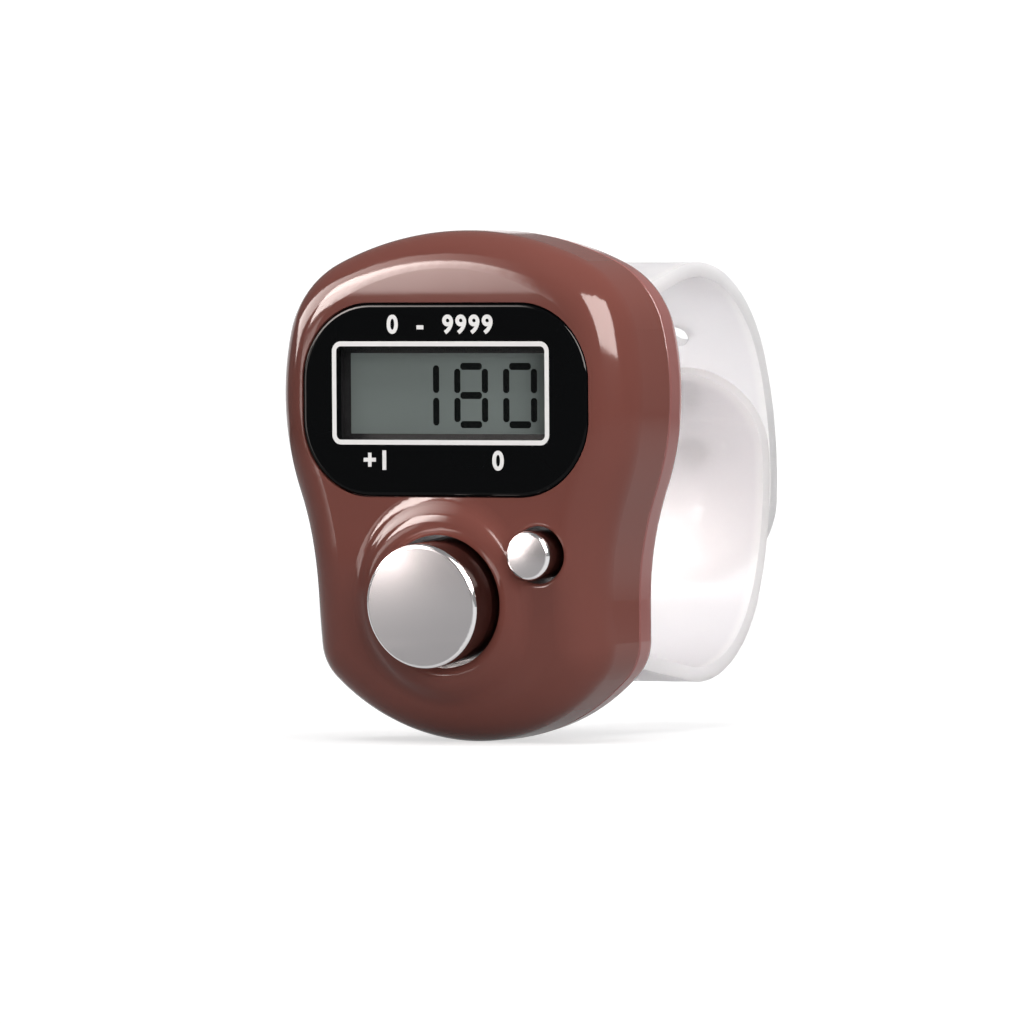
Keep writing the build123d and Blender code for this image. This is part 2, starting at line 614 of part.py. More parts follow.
def make_cell_contact():
    """Negative contact: a bowed leaf between the board and the cell's cap."""
    top = -CELL_FRONT_DEPTH
    foot = BOARD_BACK_Y
    half = LEAF_HALF_LENGTH
    toe = half + LEAF_FOOT
    edges = [
        ThreePointArc((-half, foot), (0, top - LEAF_SHEET), (half, foot)),
        ThreePointArc((toe, foot), (0, top), (-toe, foot)),
        Line((half, foot), (toe, foot)),
        Line((-toe, foot), (-half, foot)),
    ]
    return Pos(0, 0, CELL_Z) * extrude(make_face(edges), amount=LEAF_WIDTH / 2, both=True)


def make_button(radius, proud, crown, post):
    """Chromed push button in its own frame: a crowned hollow cap, a stop flange and a middle post."""
    face_radius = radius - BUTTON_EDGE_RADIUS
    shoulder = proud - BUTTON_EDGE_RADIUS
    top = proud + crown
    crown_radius = cap_radius(face_radius, crown)
    flange_low = FLANGE_TOP - FLANGE_THICKNESS
    flange_radius = radius + FLANGE_WIDTH
    inner = radius - BUTTON_WALL
    ceiling = proud - BUTTON_WALL
    edges = [
        Line((0, top), (face_radius, top)),
        Line((face_radius, top), (face_radius, proud)),
        arc((face_radius, shoulder), BUTTON_EDGE_RADIUS, 90, 0),
        Line((radius, shoulder), (radius, FLANGE_TOP)),
        Line((radius, FLANGE_TOP), (flange_radius, FLANGE_TOP)),
        Line((flange_radius, FLANGE_TOP), (flange_radius, flange_low)),
        Line((flange_radius, flange_low), (inner, flange_low)),
        Line((inner, flange_low), (inner, ceiling)),
        Line((inner, ceiling), (post, ceiling)),
        Line((post, ceiling), (post, POST_END)),
        Line((post, POST_END), (0, POST_END)),
        Line((0, POST_END), (0, top)),
    ]
    # The crown is cut by a ball whose own poles lie out to the sides, clear of the face
    ball = Pos(0, 0, top - crown_radius) * Rot(90, 0, 0) * Sphere(crown_radius)
    return turned(edges) & ball


def dome_place(frame):
    """Where a button's post meets its dome: the X and Z of the dome's axis and the Y of its top."""
    tip = frame.origin + frame.z_dir * POST_END
    return tip.X, tip.Z, tip.Y


def make_dome(frame, radius, plunger, post, travel):
    """Silicone spring dome: a foot ring on the board, a thin cone and a plunger under the button's post."""
    x, z, contact = dome_place(frame)
    lean = abs(frame.z_dir.Z) * post
    height = BOARD_FRONT_Y - contact - lean - SEAT_GAP
    foot_inner = radius - DOME_BASE_WIDTH
    underside = PILL_STOP_GAP + travel + PILL_THICKNESS
    neck = underside + DOME_WEB
    edges = [
        Line((foot_inner, 0), (radius, 0)),
        Line((radius, 0), (radius, DOME_BASE_HEIGHT)),
        Line((radius, DOME_BASE_HEIGHT), (plunger, neck)),
        Line((plunger, neck), (plunger, height)),
        Line((plunger, height), (0, height)),
        Line((0, height), (0, underside)),
        Line((0, underside), (plunger - DOME_WEB / 2, underside)),
        Line((plunger - DOME_WEB / 2, underside), (foot_inner, DOME_BASE_HEIGHT - DOME_WEB)),
        Line((foot_inner, DOME_BASE_HEIGHT - DOME_WEB), (foot_inner, 0)),
    ]
    return Plane(origin=(x, BOARD_FRONT_Y, z), x_dir=(1, 0, 0), z_dir=(0, -1, 0)) * turned(edges)


def make_pill(frame, plunger, travel):
    """Carbon contact pill on the underside of a dome's plunger."""
    x, z, _ = dome_place(frame)
    back = BOARD_FRONT_Y - PILL_STOP_GAP - travel
    return rod(x, z, plunger - DOME_WEB, back - PILL_THICKNESS, back)


def loop_centres():
    """Centres of the loop's back arc and of its upper turn, as (Y, Z)."""
    back = (LOOP_DEPTH - LOOP_BACK_RADIUS, 0)
    return back, point_on(back, LOOP_BACK_RADIUS - LOOP_TURN_RADIUS, LOOP_TURN_START)


def strap_band(slot_z, low, high):
    """The side view of a strap half as (Y, Z) edges, between two distances from the loop's reference line.

    From the slot the line bends up, runs straight to the turn, goes over it and down round the back.
    """
    back, turn = loop_centres()
    root = (ROOT_STRAIGHT, slot_z + ROOT_BEND_RADIUS)
    apart = hypot(turn[0] - root[0], turn[1] - root[1])
    rise = bearing(root, turn) + degrees(asin((LOOP_TURN_RADIUS + ROOT_BEND_RADIUS) / apart))
    end_angle = -degrees(asin((TIP_REACH + STRAP_THICKNESS) / LOOP_BACK_RADIUS))

    def side(away):
        turn_radius = LOOP_TURN_RADIUS + away
        back_radius = LOOP_BACK_RADIUS + away
        root_radius = ROOT_BEND_RADIUS - away
        start = (INNER_BACK_Y - ANCHOR_DEPTH / 2, slot_z + away)
        run_start = point_on(root, root_radius, rise - 90)
        run_end = point_on(turn, turn_radius, rise + 90)
        edges = [
            Line(start, (ROOT_STRAIGHT, slot_z + away)),
            arc(root, root_radius, -90, rise - 90),
            Line(run_start, run_end),
            arc(turn, turn_radius, rise + 90, LOOP_TURN_START),
            arc(back, back_radius, LOOP_TURN_START, end_angle),
        ]
        return start, edges, point_on(back, back_radius, end_angle)

    start_low, edges_low, end_low = side(low)
    start_high, edges_high, end_high = side(high)
    return make_face(edges_low + edges_high + [Line(start_low, start_high), Line(end_low, end_high)])


def strap_tip():
    """The strap's outline from behind: full width above and a round tip below the loop's middle."""
    half = STRAP_WIDTH / 2
    tip_z = -TIP_REACH + half
    return Pos(0, tip_z + FAR / 2) * Rectangle(STRAP_WIDTH, FAR) + Pos(0, tip_z) * Circle(half)


def hole_axis(place):
    """The plane on the loop at one hole of the row, with its local Z pointing away from the finger.

    Holes are evenly spaced along the back arc, and those above it along the turn.
    """
    back, turn = loop_centres()
    angle = FIRST_HOLE_ANGLE - place * PEG_PITCH
    centre, radius = back, LOOP_BACK_RADIUS
    if angle > LOOP_TURN_START:
        angle = LOOP_TURN_START + (angle - LOOP_TURN_START) * LOOP_BACK_RADIUS / LOOP_TURN_RADIUS
        centre, radius = turn, LOOP_TURN_RADIUS
    y, z = point_on(centre, radius, angle)
    return Plane(origin=(0, y, z), x_dir=(1, 0, 0), z_dir=(0, cos(radians(angle)), sin(radians(angle))))


def make_strap_half(layer):
    """A strap half above the loop's middle: anchor bar, neck and band. Layer +1 is the outer, -1 the inner."""
    near = STRAP_GAP / 2
    low, high = (near, near + STRAP_THICKNESS) if layer > 0 else (-near - STRAP_THICKNESS, -near)
    slot_z = SLOT_Z - (low + high) / 2
    band = extrude(Plane.YZ * strap_band(slot_z, low, high), amount=STRAP_WIDTH / 2, both=True)
    band &= slab(strap_tip(), -FAR, FAR)
    square_on = cos(radians(SQUARE_ANGLE))
    rims = [f for f in band.faces() if abs(f.normal_at().X) > square_on]
    rims += [f for f in band.faces() if f.normal_at().Z < -square_on and f.center().Z < 0]
    rim_loop = {edge for f in rims for edge in f.edges()}
    long_edges = [edge for edge in rim_loop if edge.length > STRAP_THICKNESS + STRAP_EDGE_RADIUS]
    band = fillet(long_edges, STRAP_EDGE_RADIUS)
    anchor = box(-STRAP_WIDTH / 2, STRAP_WIDTH / 2, INNER_BACK_Y - ANCHOR_DEPTH, INNER_BACK_Y,
                 SLOT_Z - ANCHOR_HEIGHT / 2, SLOT_Z + ANCHOR_HEIGHT / 2)
    return band + anchor


def make_upper_strap():
    """Outer strap half with its row of peg holes."""
    strap = make_strap_half(1)
    for place in range(HOLE_COUNT):
        hole = Cylinder(PEG_RADIUS + PEG_HOLE_CLEARANCE, 2 * (STRAP_THICKNESS + STRAP_GAP))
        strap -= hole_axis(place) * hole
    return strap


def make_lower_strap():
    """Inner strap half with two moulded pegs that stand through the outer half's holes."""
    strap = make_strap_half(-1).mirror(Plane.XY)
    root = -STRAP_THICKNESS / 2
    shank_end = STRAP_THICKNESS + STRAP_GAP
    for place in PEG_PLACES:
        peg = Pos(0, 0, root) * disc(PEG_RADIUS, shank_end - root)
        head = Pos(0, 0, shank_end) * disc(PEG_HEAD_RADIUS, PEG_HEAD_THICKNESS)
        head = fillet(head.edges().sort_by(Axis.Z)[-1], PEG_HEAD_EDGE_RADIUS)
        strap += hole_axis(place) * (peg + head)
    return strap


def screw(x, z, seat_y, radius, length, head_radius, head_height):
    """A pan-head screw driven from behind, its head on the seat and a cross drive in the head."""
    head_back = seat_y + head_height
    head = rod(x, z, head_radius, seat_y, head_back)
    head = fillet(head.edges().group_by(Axis.Y)[-1], SCREW_EDGE_RADIUS)
    body = head + rod(x, z, radius, seat_y - length, seat_y)
    long, short = head_radius - DRIVE_MARGIN, DRIVE_WIDTH / 2
    for half_x, half_z in ((long, short), (short, long)):
        body -= box(x - half_x, x + half_x, head_back - DRIVE_DEPTH, head_back, z - half_z, z + half_z)
    return body


def make_case_screws():
    """The three screws that hold the shells together."""
    size = (SCREW_RADIUS, SCREW_LENGTH, SCREW_HEAD_RADIUS, SCREW_HEAD_HEIGHT)
    return Compound(children=[screw(x, z, CASE_SEAT_Y, *size) for x, z in CASE_SCREWS])


def make_board_screws():
    """The two screws that hold the board to the front shell's posts."""
    size = (BOARD_SCREW_RADIUS, BOARD_SCREW_LENGTH, BOARD_SCREW_HEAD_RADIUS, BOARD_SCREW_HEAD_HEIGHT)
    sides = (-BOARD_SCREW_X, BOARD_SCREW_X)
    return Compound(children=[screw(x, BOARD_SCREW_Z, BOARD_BACK_Y, *size) for x in sides])


pieces = {
    "front_shell": make_front_shell(),
    "rear_shell": make_rear_shell(),
    "display_lens": make_display_lens(),
    "lens_tape": make_lens_tape(),
    "lcd_polariser": make_film(FILM_FRONT_Y, GLASS_BOTTOM_Z, FILM_INSET),
    "lcd_glass": make_lcd_glass(),
    "lcd_reflector": make_film(BACK_GLASS_Y, GLASS_BOTTOM_Z + CONTACT_LEDGE, FRAME_REST),
    "lcd_frame": make_lcd_frame(),
    "zebra_strip": make_zebra_strip(),
    "circuit_board": make_circuit_board(),
    "chip_blob": make_chip_blob(),
    "chip_capacitor": make_chip(-CHIP_X),
    "chip_resistor": make_chip(CHIP_X),
    "count_button": COUNT_FRAME * make_button(COUNT_RADIUS, COUNT_PROUD, COUNT_CROWN, COUNT_POST_RADIUS),
    "reset_button": RESET_FRAME * make_button(RESET_RADIUS, RESET_PROUD, RESET_CROWN, RESET_POST_RADIUS),
    "count_dome": make_dome(COUNT_FRAME, COUNT_DOME_RADIUS, COUNT_PLUNGER_RADIUS, COUNT_POST_RADIUS,
                            COUNT_TRAVEL),
    "reset_dome": make_dome(RESET_FRAME, RESET_DOME_RADIUS, RESET_PLUNGER_RADIUS, RESET_POST_RADIUS,
                            RESET_TRAVEL),
    "count_pill": make_pill(COUNT_FRAME, COUNT_PLUNGER_RADIUS, COUNT_TRAVEL),
    "reset_pill": make_pill(RESET_FRAME, RESET_PLUNGER_RADIUS, RESET_TRAVEL),
    "button_cell": make_button_cell(),
    "cell_clip": make_cell_clip(),
    "cell_contact": make_cell_contact(),
    "upper_strap": make_upper_strap(),
    "lower_strap": make_lower_strap(),
    "case_screws": make_case_screws(),
    "board_screws": make_board_screws(),
}

os.makedirs("parts", exist_ok=True)
for name, shape in pieces.items():
    export_step(shape, f"parts/{name}.step")
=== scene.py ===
from math import asin, atan, atan2, cos, degrees, hypot, pi, radians, sin

import bmesh
import bpy
from mathutils import Matrix, Quaternion, Vector


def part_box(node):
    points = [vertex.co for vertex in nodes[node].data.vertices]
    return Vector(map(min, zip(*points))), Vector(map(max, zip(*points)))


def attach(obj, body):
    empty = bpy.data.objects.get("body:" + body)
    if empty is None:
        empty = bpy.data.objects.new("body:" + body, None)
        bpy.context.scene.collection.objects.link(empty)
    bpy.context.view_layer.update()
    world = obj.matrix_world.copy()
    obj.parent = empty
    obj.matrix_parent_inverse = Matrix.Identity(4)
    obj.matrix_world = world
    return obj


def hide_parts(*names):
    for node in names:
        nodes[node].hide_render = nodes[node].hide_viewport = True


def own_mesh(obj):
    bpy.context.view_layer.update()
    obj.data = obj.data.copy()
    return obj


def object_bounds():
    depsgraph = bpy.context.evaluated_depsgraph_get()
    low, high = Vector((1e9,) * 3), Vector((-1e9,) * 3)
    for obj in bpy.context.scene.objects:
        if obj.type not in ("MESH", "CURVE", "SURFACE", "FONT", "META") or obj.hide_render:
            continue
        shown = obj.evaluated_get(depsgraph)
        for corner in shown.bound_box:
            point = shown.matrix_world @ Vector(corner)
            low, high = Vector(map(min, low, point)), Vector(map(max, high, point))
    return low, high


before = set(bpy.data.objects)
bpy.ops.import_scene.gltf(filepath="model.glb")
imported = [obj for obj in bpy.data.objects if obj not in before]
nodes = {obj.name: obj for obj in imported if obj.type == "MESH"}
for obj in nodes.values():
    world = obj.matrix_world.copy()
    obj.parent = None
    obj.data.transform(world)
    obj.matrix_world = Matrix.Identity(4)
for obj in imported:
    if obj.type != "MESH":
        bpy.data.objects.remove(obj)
cad_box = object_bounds()

# Front shell: the deep front half of the case, injection-moulded in reddish-brown plastic in a polished
# tool. It has a wet gloss, a ripple too slight to see but in reflections, and hairlines from handling.
MM = 0.001
CASE_BROWN = (0.200, 0.066, 0.052)
CASE_CLOUDS = 60.0
CASE_RIPPLE = 260.0
CLOUD_SCALE = 120.0
GRAIN_SCALE = 900.0
MARK_SCALE = 260.0
MARK_SLANT = (radians(20), radians(35), radians(12))
MARK_STRETCH = (0.06, 1.0, 1.0)
MARK_CRESTS = (0.62, 0.74)
RELIEF_DEPTH = 0.1 * MM


def add(tree, kind, **settings):
    """A node of a kind in a tree, with its plain settings."""
    node = tree.nodes.new(kind)
    for name, value in settings.items():
        setattr(node, name, value)
    return node


def wire(tree, *links):
    """Links nodes in a tree, with each link as (node, its output, next node, its input)."""
    for source, output, target, socket in links:
        tree.links.new(source.outputs[output], target.inputs[socket])


def open_group(name, kind, inputs, outputs):
    """A new node group with named sockets, given as (name, type, default), and its two end nodes."""
    group = bpy.data.node_groups.new(name, kind)
    for label, socket, default in inputs:
        made = group.interface.new_socket(name=label, in_out="INPUT", socket_type=socket)
        if default is not None:
            made.default_value = default
    for label, socket in outputs:
        group.interface.new_socket(name=label, in_out="OUTPUT", socket_type=socket)
    return group, add(group, "NodeGroupInput"), add(group, "NodeGroupOutput")


def build_surface_life():
    """Shared effect: cloudy tone, hairline marks and a slight relief, from the piece's own coordinates."""
    group, start, end = open_group(
        "surface life", "ShaderNodeTree",
        [("Place", "NodeSocketVector", None), ("Cloud Scale", "NodeSocketFloat", CLOUD_SCALE),
         ("Grain Scale", "NodeSocketFloat", GRAIN_SCALE), ("Mark Scale", "NodeSocketFloat", MARK_SCALE)],
        [("Tone", "NodeSocketFloat"), ("Marks", "NodeSocketFloat"), ("Relief", "NodeSocketFloat")])

    cloud = add(group, "ShaderNodeTexNoise")
    cloud.inputs["Detail"].default_value = 3.0
    wire(group, (start, "Place", cloud, "Vector"),
                (start, "Cloud Scale", cloud, "Scale"),
                (cloud, "Fac", end, "Tone"))

    # Hairlines are noise drawn out along one slanting direction, with only its crests kept
    slant = add(group, "ShaderNodeMapping")
    slant.inputs["Rotation"].default_value = MARK_SLANT
    slant.inputs["Scale"].default_value = MARK_STRETCH
    hair = add(group, "ShaderNodeTexNoise")
    hair.inputs["Detail"].default_value = 2.0
    crest = add(group, "ShaderNodeMapRange")
    crest.inputs["From Min"].default_value = MARK_CRESTS[0]
    crest.inputs["From Max"].default_value = MARK_CRESTS[1]
    wire(group, (start, "Place", slant, "Vector"),
                (slant, "Vector", hair, "Vector"),
                (start, "Mark Scale", hair, "Scale"),
                (hair, "Fac", crest, "Value"),
                (crest, "Result", end, "Marks"))

    grain = add(group, "ShaderNodeTexNoise")
    grain.inputs["Detail"].default_value = 2.0
    wire(group, (start, "Place", grain, "Vector"),
                (start, "Grain Scale", grain, "Scale"),
                (grain, "Fac", end, "Relief"))
    return group


surface_life = build_surface_life()


def shade(colour, factor):
    """A colour made darker or lighter, with full opacity."""
    return tuple(min(1.0, c * factor) for c in colour) + (1.0,)


def finish_of(name, colour, roughness, spread=0.06, scuff=0.1, relief=0.02, clouds=CLOUD_SCALE,
              grain=GRAIN_SCALE, marks=MARK_SCALE, **sockets):
    """A procedural finish: colour that drifts by spread, hairlines that dull it by scuff, a fine relief."""
    material = bpy.data.materials.new(name)
    material.use_nodes = True
    tree = material.node_tree
    shader = tree.nodes["Principled BSDF"]
    for socket, value in sockets.items():
        shader.inputs[socket.replace("_", " ").title().replace("Ior", "IOR")].default_value = value

    place = add(tree, "ShaderNodeTexCoord")
    life = add(tree, "ShaderNodeGroup", node_tree=surface_life)
    life.inputs["Cloud Scale"].default_value = clouds
    life.inputs["Grain Scale"].default_value = grain
    life.inputs["Mark Scale"].default_value = marks
    wire(tree, (place, "Object", life, "Place"))

    drift = add(tree, "ShaderNodeMix", data_type="RGBA", name="drift")
    drift.inputs["A"].default_value = shade(colour, 1 - spread)
    drift.inputs["B"].default_value = shade(colour, 1 + spread)
    wire(tree, (life, "Tone", drift, "Factor"),
               (drift, "Result", shader, "Base Color"))

    dull = add(tree, "ShaderNodeMath", operation="MULTIPLY_ADD", name="dull")
    dull.inputs[1].default_value = scuff
    dull.inputs[2].default_value = roughness
    wire(tree, (life, "Marks", dull, 0),
               (dull, "Value", shader, "Roughness"))

    bump = add(tree, "ShaderNodeBump")
    bump.inputs["Strength"].default_value = relief
    bump.inputs["Distance"].default_value = RELIEF_DEPTH
    wire(tree, (life, "Relief", bump, "Height"),
               (bump, "Normal", shader, "Normal"))
    return material


def coat_node(name, material):
    """Gives a CAD node its finish."""
    mesh = nodes[name].data
    mesh.materials.clear()
    mesh.materials.append(material)


case_gloss = finish_of("case_gloss", CASE_BROWN, roughness=0.09, spread=0.05, scuff=0.07, relief=0.05,
                       clouds=CASE_CLOUDS, grain=CASE_RIPPLE, specular_ior_level=0.18)
coat_node("front_shell", case_gloss)

# Display lens: a flat acrylic plate, screen-printed in black on its back but for the window, and taped into
# the shell's recess. It is made here as the black field, the clear window in it and the white print.
LENS_LOW, LENS_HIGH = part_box("display_lens")
LENS_CORNER = 6.2 * MM
LENS_ROUND = 0.3 * MM
LENS_FLAT = 0.36 * MM
PRINT_CENTRE = Vector((-0.35, 7.54)) * MM
PRINT_SIZE = Vector((19.8, 8.25)) * MM
PRINT_LINE = 0.39 * MM
PRINT_CORNER = 0.80 * MM
PRINT_BOLD = 0.035
PRINT_SPACING = 1.2
PRINT_TALL = 0.7
RANGE_Z = 12.95 * MM
RANGE_HEIGHT = 1.4 * MM
KEY_PRINT_X = {"count": -6.2 * MM, "reset": 4.9 * MM}
KEY_PRINT_Z = 2.1 * MM
KEY_PRINT_HEIGHT = 1.45 * MM
INK = 0.012 * MM
LENS_BLACK = (0.0025, 0.0028, 0.0032)
LENS_TINT = (0.96, 0.98, 0.97)
INK_WHITE = (0.80, 0.80, 0.79)


def rounded_loop(centre, size, corner, y, steps=14):
    """Points of a rounded rectangle at one depth, anticlockwise as seen from the front."""
    points = []
    for side_x, side_z, first in ((1, 1, 0), (-1, 1, 90), (-1, -1, 180), (1, -1, 270)):
        turn_x = centre[0] + side_x * (size[0] / 2 - corner)
        turn_z = centre[1] + side_z * (size[1] / 2 - corner)
        for step in range(steps + 1):
            angle = radians(first + 90 * step / steps)
            points.append((turn_x + corner * cos(angle), y, turn_z + corner * sin(angle)))
    return points


def lofted(name, loops, ring=False):
    """A closed mesh through loops of equal count, with capped ends or, as a ring, with its ends joined."""
    build = bmesh.new()
    rows = [[build.verts.new(p) for p in loop] for loop in loops]
    count = len(rows[0])
    pairs = list(zip(rows, rows[1:]))
    if ring:
        pairs.append((rows[-1], rows[0]))
    for low, high in pairs:
        for i in range(count):
            k = (i + 1) % count
            build.faces.new((low[i], low[k], high[k], high[i]))
    if not ring:
        build.faces.new(rows[0])
        build.faces.new(rows[-1])
    bmesh.ops.recalc_face_normals(build, faces=build.faces)
    mesh = bpy.data.meshes.new(name)
    build.to_mesh(mesh)
    build.free()
    return mesh


def piece_of(name, mesh, material, body, smooth=None):
    """A finished piece at the origin: its mesh, finish and body."""
    piece = bpy.data.objects.new(name, mesh)
    bpy.context.scene.collection.objects.link(piece)
    if material is not None:
        mesh.materials.clear()
        mesh.materials.append(material)
    if smooth is not None:
        mesh.shade_smooth()
        mesh.set_sharp_from_angle(angle=radians(smooth))
    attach(piece, body)
    return piece


def edge_round(centre, size, corner, y_front, radius, steps=6):
    """Loops over a plate's rounded front edge, from its side to its face."""
    loops = []
    for step in range(steps + 1):
        angle = radians(90 * step / steps)
        inset = radius * (1 - cos(angle))
        depth = y_front + radius * (1 - sin(angle))
        loops.append(rounded_loop(centre, (size[0] - 2 * inset, size[1] - 2 * inset), corner - inset, depth))
    return loops


lens_centre = ((LENS_LOW.x + LENS_HIGH.x) / 2, (LENS_LOW.z + LENS_HIGH.z) / 2)
lens_size = (LENS_HIGH.x - LENS_LOW.x, LENS_HIGH.z - LENS_LOW.z)
lens_face, lens_back = LENS_LOW.y, LENS_HIGH.y
window_size = PRINT_SIZE - Vector((2, 2)) * PRINT_LINE
window_corner = PRINT_CORNER - PRINT_LINE

field_loops = [rounded_loop(lens_centre, lens_size, LENS_CORNER, lens_back)]
field_loops += edge_round(lens_centre, lens_size, LENS_CORNER, lens_face, LENS_ROUND)
flat_size = (lens_size[0] - 2 * LENS_FLAT, lens_size[1] - 2 * LENS_FLAT)
field_loops += [rounded_loop(lens_centre, flat_size, LENS_CORNER - LENS_FLAT, lens_face),
                rounded_loop(PRINT_CENTRE, window_size, window_corner, lens_face),
                rounded_loop(PRINT_CENTRE, window_size, window_corner, lens_back)]
lens_black = finish_of("lens_black", LENS_BLACK, roughness=0.03, spread=0.1, scuff=0.03, relief=0.01,
                       specular_ior_level=0.1)
lens_field = piece_of("lens_field", lofted("lens_field", field_loops, ring=True), lens_black, "case",
                      smooth=30)
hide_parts("display_lens")

lens_clear = finish_of("lens_clear", LENS_TINT, roughness=0.01, spread=0.01, scuff=0.02, relief=0.004,
                       transmission_weight=1.0, ior=1.2)
pane_loops = [rounded_loop(PRINT_CENTRE, window_size, window_corner, y) for y in (lens_face, lens_back)]
lens_window = piece_of("lens_window", lofted("lens_window", pane_loops), lens_clear, "case")
lens_window.visible_shadow = False
lens_window.visible_diffuse = False

ink_white = finish_of("ink_white", INK_WHITE, roughness=0.35, spread=0.04, scuff=0.1, relief=0.05,
                      grain=4000.0)
line_loops = [rounded_loop(PRINT_CENTRE, PRINT_SIZE, PRINT_CORNER, lens_face),
              rounded_loop(PRINT_CENTRE, PRINT_SIZE, PRINT_CORNER, lens_face - INK),
              rounded_loop(PRINT_CENTRE, window_size, window_corner, lens_face - INK),
              rounded_loop(PRINT_CENTRE, window_size, window_corner, lens_face)]
piece_of("lens_frame_line", lofted("lens_frame_line", line_loops, ring=True), ink_white, "case")


def printed(name, words, x, z, height):
    """Plain figures printed on the lens, centred on a place: a text made into a thin mesh."""
    text = bpy.data.curves.new(name, "FONT")
    text.body = words
    text.align_x, text.align_y = "CENTER", "CENTER"
    text.size = height / PRINT_TALL
    text.space_character = PRINT_SPACING
    text.offset = PRINT_BOLD * text.size
    text.extrude = INK / 2
    stand_in = bpy.data.objects.new(name, text)
    bpy.context.scene.collection.objects.link(stand_in)
    bpy.context.view_layer.update()
    mesh = bpy.data.meshes.new_from_object(stand_in.evaluated_get(bpy.context.evaluated_depsgraph_get()))
    bpy.data.objects.remove(stand_in)
    mesh.transform(Matrix.Translation((x, lens_face - INK / 2, z)) @ Matrix.Rotation(radians(90), 4, "X"))
    return piece_of(name, mesh, ink_white, "case")


printed("print_range", "0  -  9999", PRINT_CENTRE.x, RANGE_Z, RANGE_HEIGHT)
printed("print_count", "+1", KEY_PRINT_X["count"], KEY_PRINT_Z, KEY_PRINT_HEIGHT)
printed("print_reset", "0", KEY_PRINT_X["reset"], KEY_PRINT_Z, KEY_PRINT_HEIGHT)

# Lens tape: a die-cut ring of double-sided foam tape between the lens and the floor of its recess.
# The foam is white, with open cells about a tenth of a millimetre across.
FOAM_WHITE = (0.62, 0.61, 0.58)
tape_foam = finish_of("tape_foam", FOAM_WHITE, roughness=0.7, spread=0.12, scuff=0.0, relief=0.6,
                      grain=9000.0)
coat_node("lens_tape", tape_foam)

# Display mask: a black gasket that lines the window between lens and glass, and narrows to the field that
# shows figures. It is moulded in rubber and lies on the polariser.
FILM_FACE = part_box("lcd_polariser")[0].y
TAPE_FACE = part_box("lens_tape")[0].y
SHOWN_CENTRE = Vector((-0.35, 7.48)) * MM
SHOWN_SIZE = Vector((18.4, 6.44)) * MM
WINDOW_CENTRE = Vector((0.0, 7.5)) * MM
WINDOW_SIZE = Vector((20.8, 8.8)) * MM
WINDOW_CORNER = 0.6 * MM
GASKET_GAP = 0.03 * MM
GASKET_WALL = 0.12 * MM
GASKET_FLOOR = 0.04 * MM
SHOWN_CORNER = 0.05 * MM
GASKET_BLACK = (0.005, 0.005, 0.006)

gasket_size = WINDOW_SIZE - Vector((2, 2)) * GASKET_GAP
gasket_inner = gasket_size - Vector((2, 2)) * GASKET_WALL
gasket_front = TAPE_FACE + GASKET_GAP
gasket_back = FILM_FACE - GASKET_FLOOR / 2
gasket_floor = gasket_back - GASKET_FLOOR
gasket_loops = [
    rounded_loop(WINDOW_CENTRE, gasket_size, WINDOW_CORNER, gasket_back),
    rounded_loop(WINDOW_CENTRE, gasket_size, WINDOW_CORNER, gasket_front),
    rounded_loop(WINDOW_CENTRE, gasket_inner, WINDOW_CORNER - GASKET_WALL, gasket_front),
    rounded_loop(WINDOW_CENTRE, gasket_inner, WINDOW_CORNER - GASKET_WALL, gasket_floor),
    rounded_loop(SHOWN_CENTRE, SHOWN_SIZE, SHOWN_CORNER, gasket_floor),
    rounded_loop(SHOWN_CENTRE, SHOWN_SIZE, SHOWN_CORNER, gasket_back),
]
gasket_black = finish_of("gasket_black", GASKET_BLACK, roughness=0.6, spread=0.2, scuff=0.1, relief=0.2,
                         specular_ior_level=0.1)
piece_of("display_mask", lofted("display_mask", gasket_loops, ring=True), gasket_black, "case")

# Display films: a neutral grey polariser in front of the cell and a satin foil reflector behind it,
# both cut from sheet and stuck on. The field is a greenish grey, with the faint hairlines of stretched film.
FIELD_GREY = (0.222, 0.250, 0.240)
FOIL_SILVER = (0.62, 0.63, 0.62)
film_grey = finish_of("film_grey", FIELD_GREY, roughness=0.28, spread=0.05, scuff=0.05, relief=0.05,
                      clouds=90.0, grain=5000.0, specular_ior_level=0.0)
coat_node("lcd_polariser", film_grey)
foil_satin = finish_of("foil_satin", FOIL_SILVER, roughness=0.38, spread=0.06, scuff=0.15, relief=0.3,
                       grain=7000.0, metallic=0.9)
coat_node("lcd_reflector", foil_satin)

# Figures: the driven segments of the cell, seven to a figure and mitred at their ends, reading 180.
# They are dark liquid crystal just under the polariser, shown here as a layer 0.01 mm thick.
FIGURE_MIDDLE = Vector((5.92, 7.33)) * MM
FIGURE_PITCH = 4.46 * MM
FIGURE_SIZE = Vector((3.08, 5.20)) * MM
SEGMENT_WIDTH = 0.56 * MM
SEGMENT_TIP = 0.24 * MM
SEGMENT_GAP = 0.40 * MM
LEVEL_GAP = 0.56 * MM
SEGMENT_LAYER = 0.01 * MM
SEGMENT_BLACK = (0.003, 0.004, 0.004)
LIT_SEGMENTS = {"1": "BC", "8": "abcdefg", "0": "abcdef"}
READING = "180"


def segment_mesh():
    """One upright segment of unit length: a flat bar with mitred ends, long along Z and thin along Y."""
    half, blunt = SEGMENT_WIDTH / 2, SEGMENT_TIP / 2
    tip = 0.5
    shoulder = tip - (half - blunt) / ((FIGURE_SIZE.y - SEGMENT_WIDTH) / 2 - SEGMENT_GAP)
    corners = [(half, shoulder), (blunt, tip), (-blunt, tip), (-half, shoulder)]
    outline = corners + [(-x, -z) for x, z in corners]
    layers = [[(x, y, z) for x, z in outline] for y in (0.0, -SEGMENT_LAYER)]
    return lofted("segment", layers)


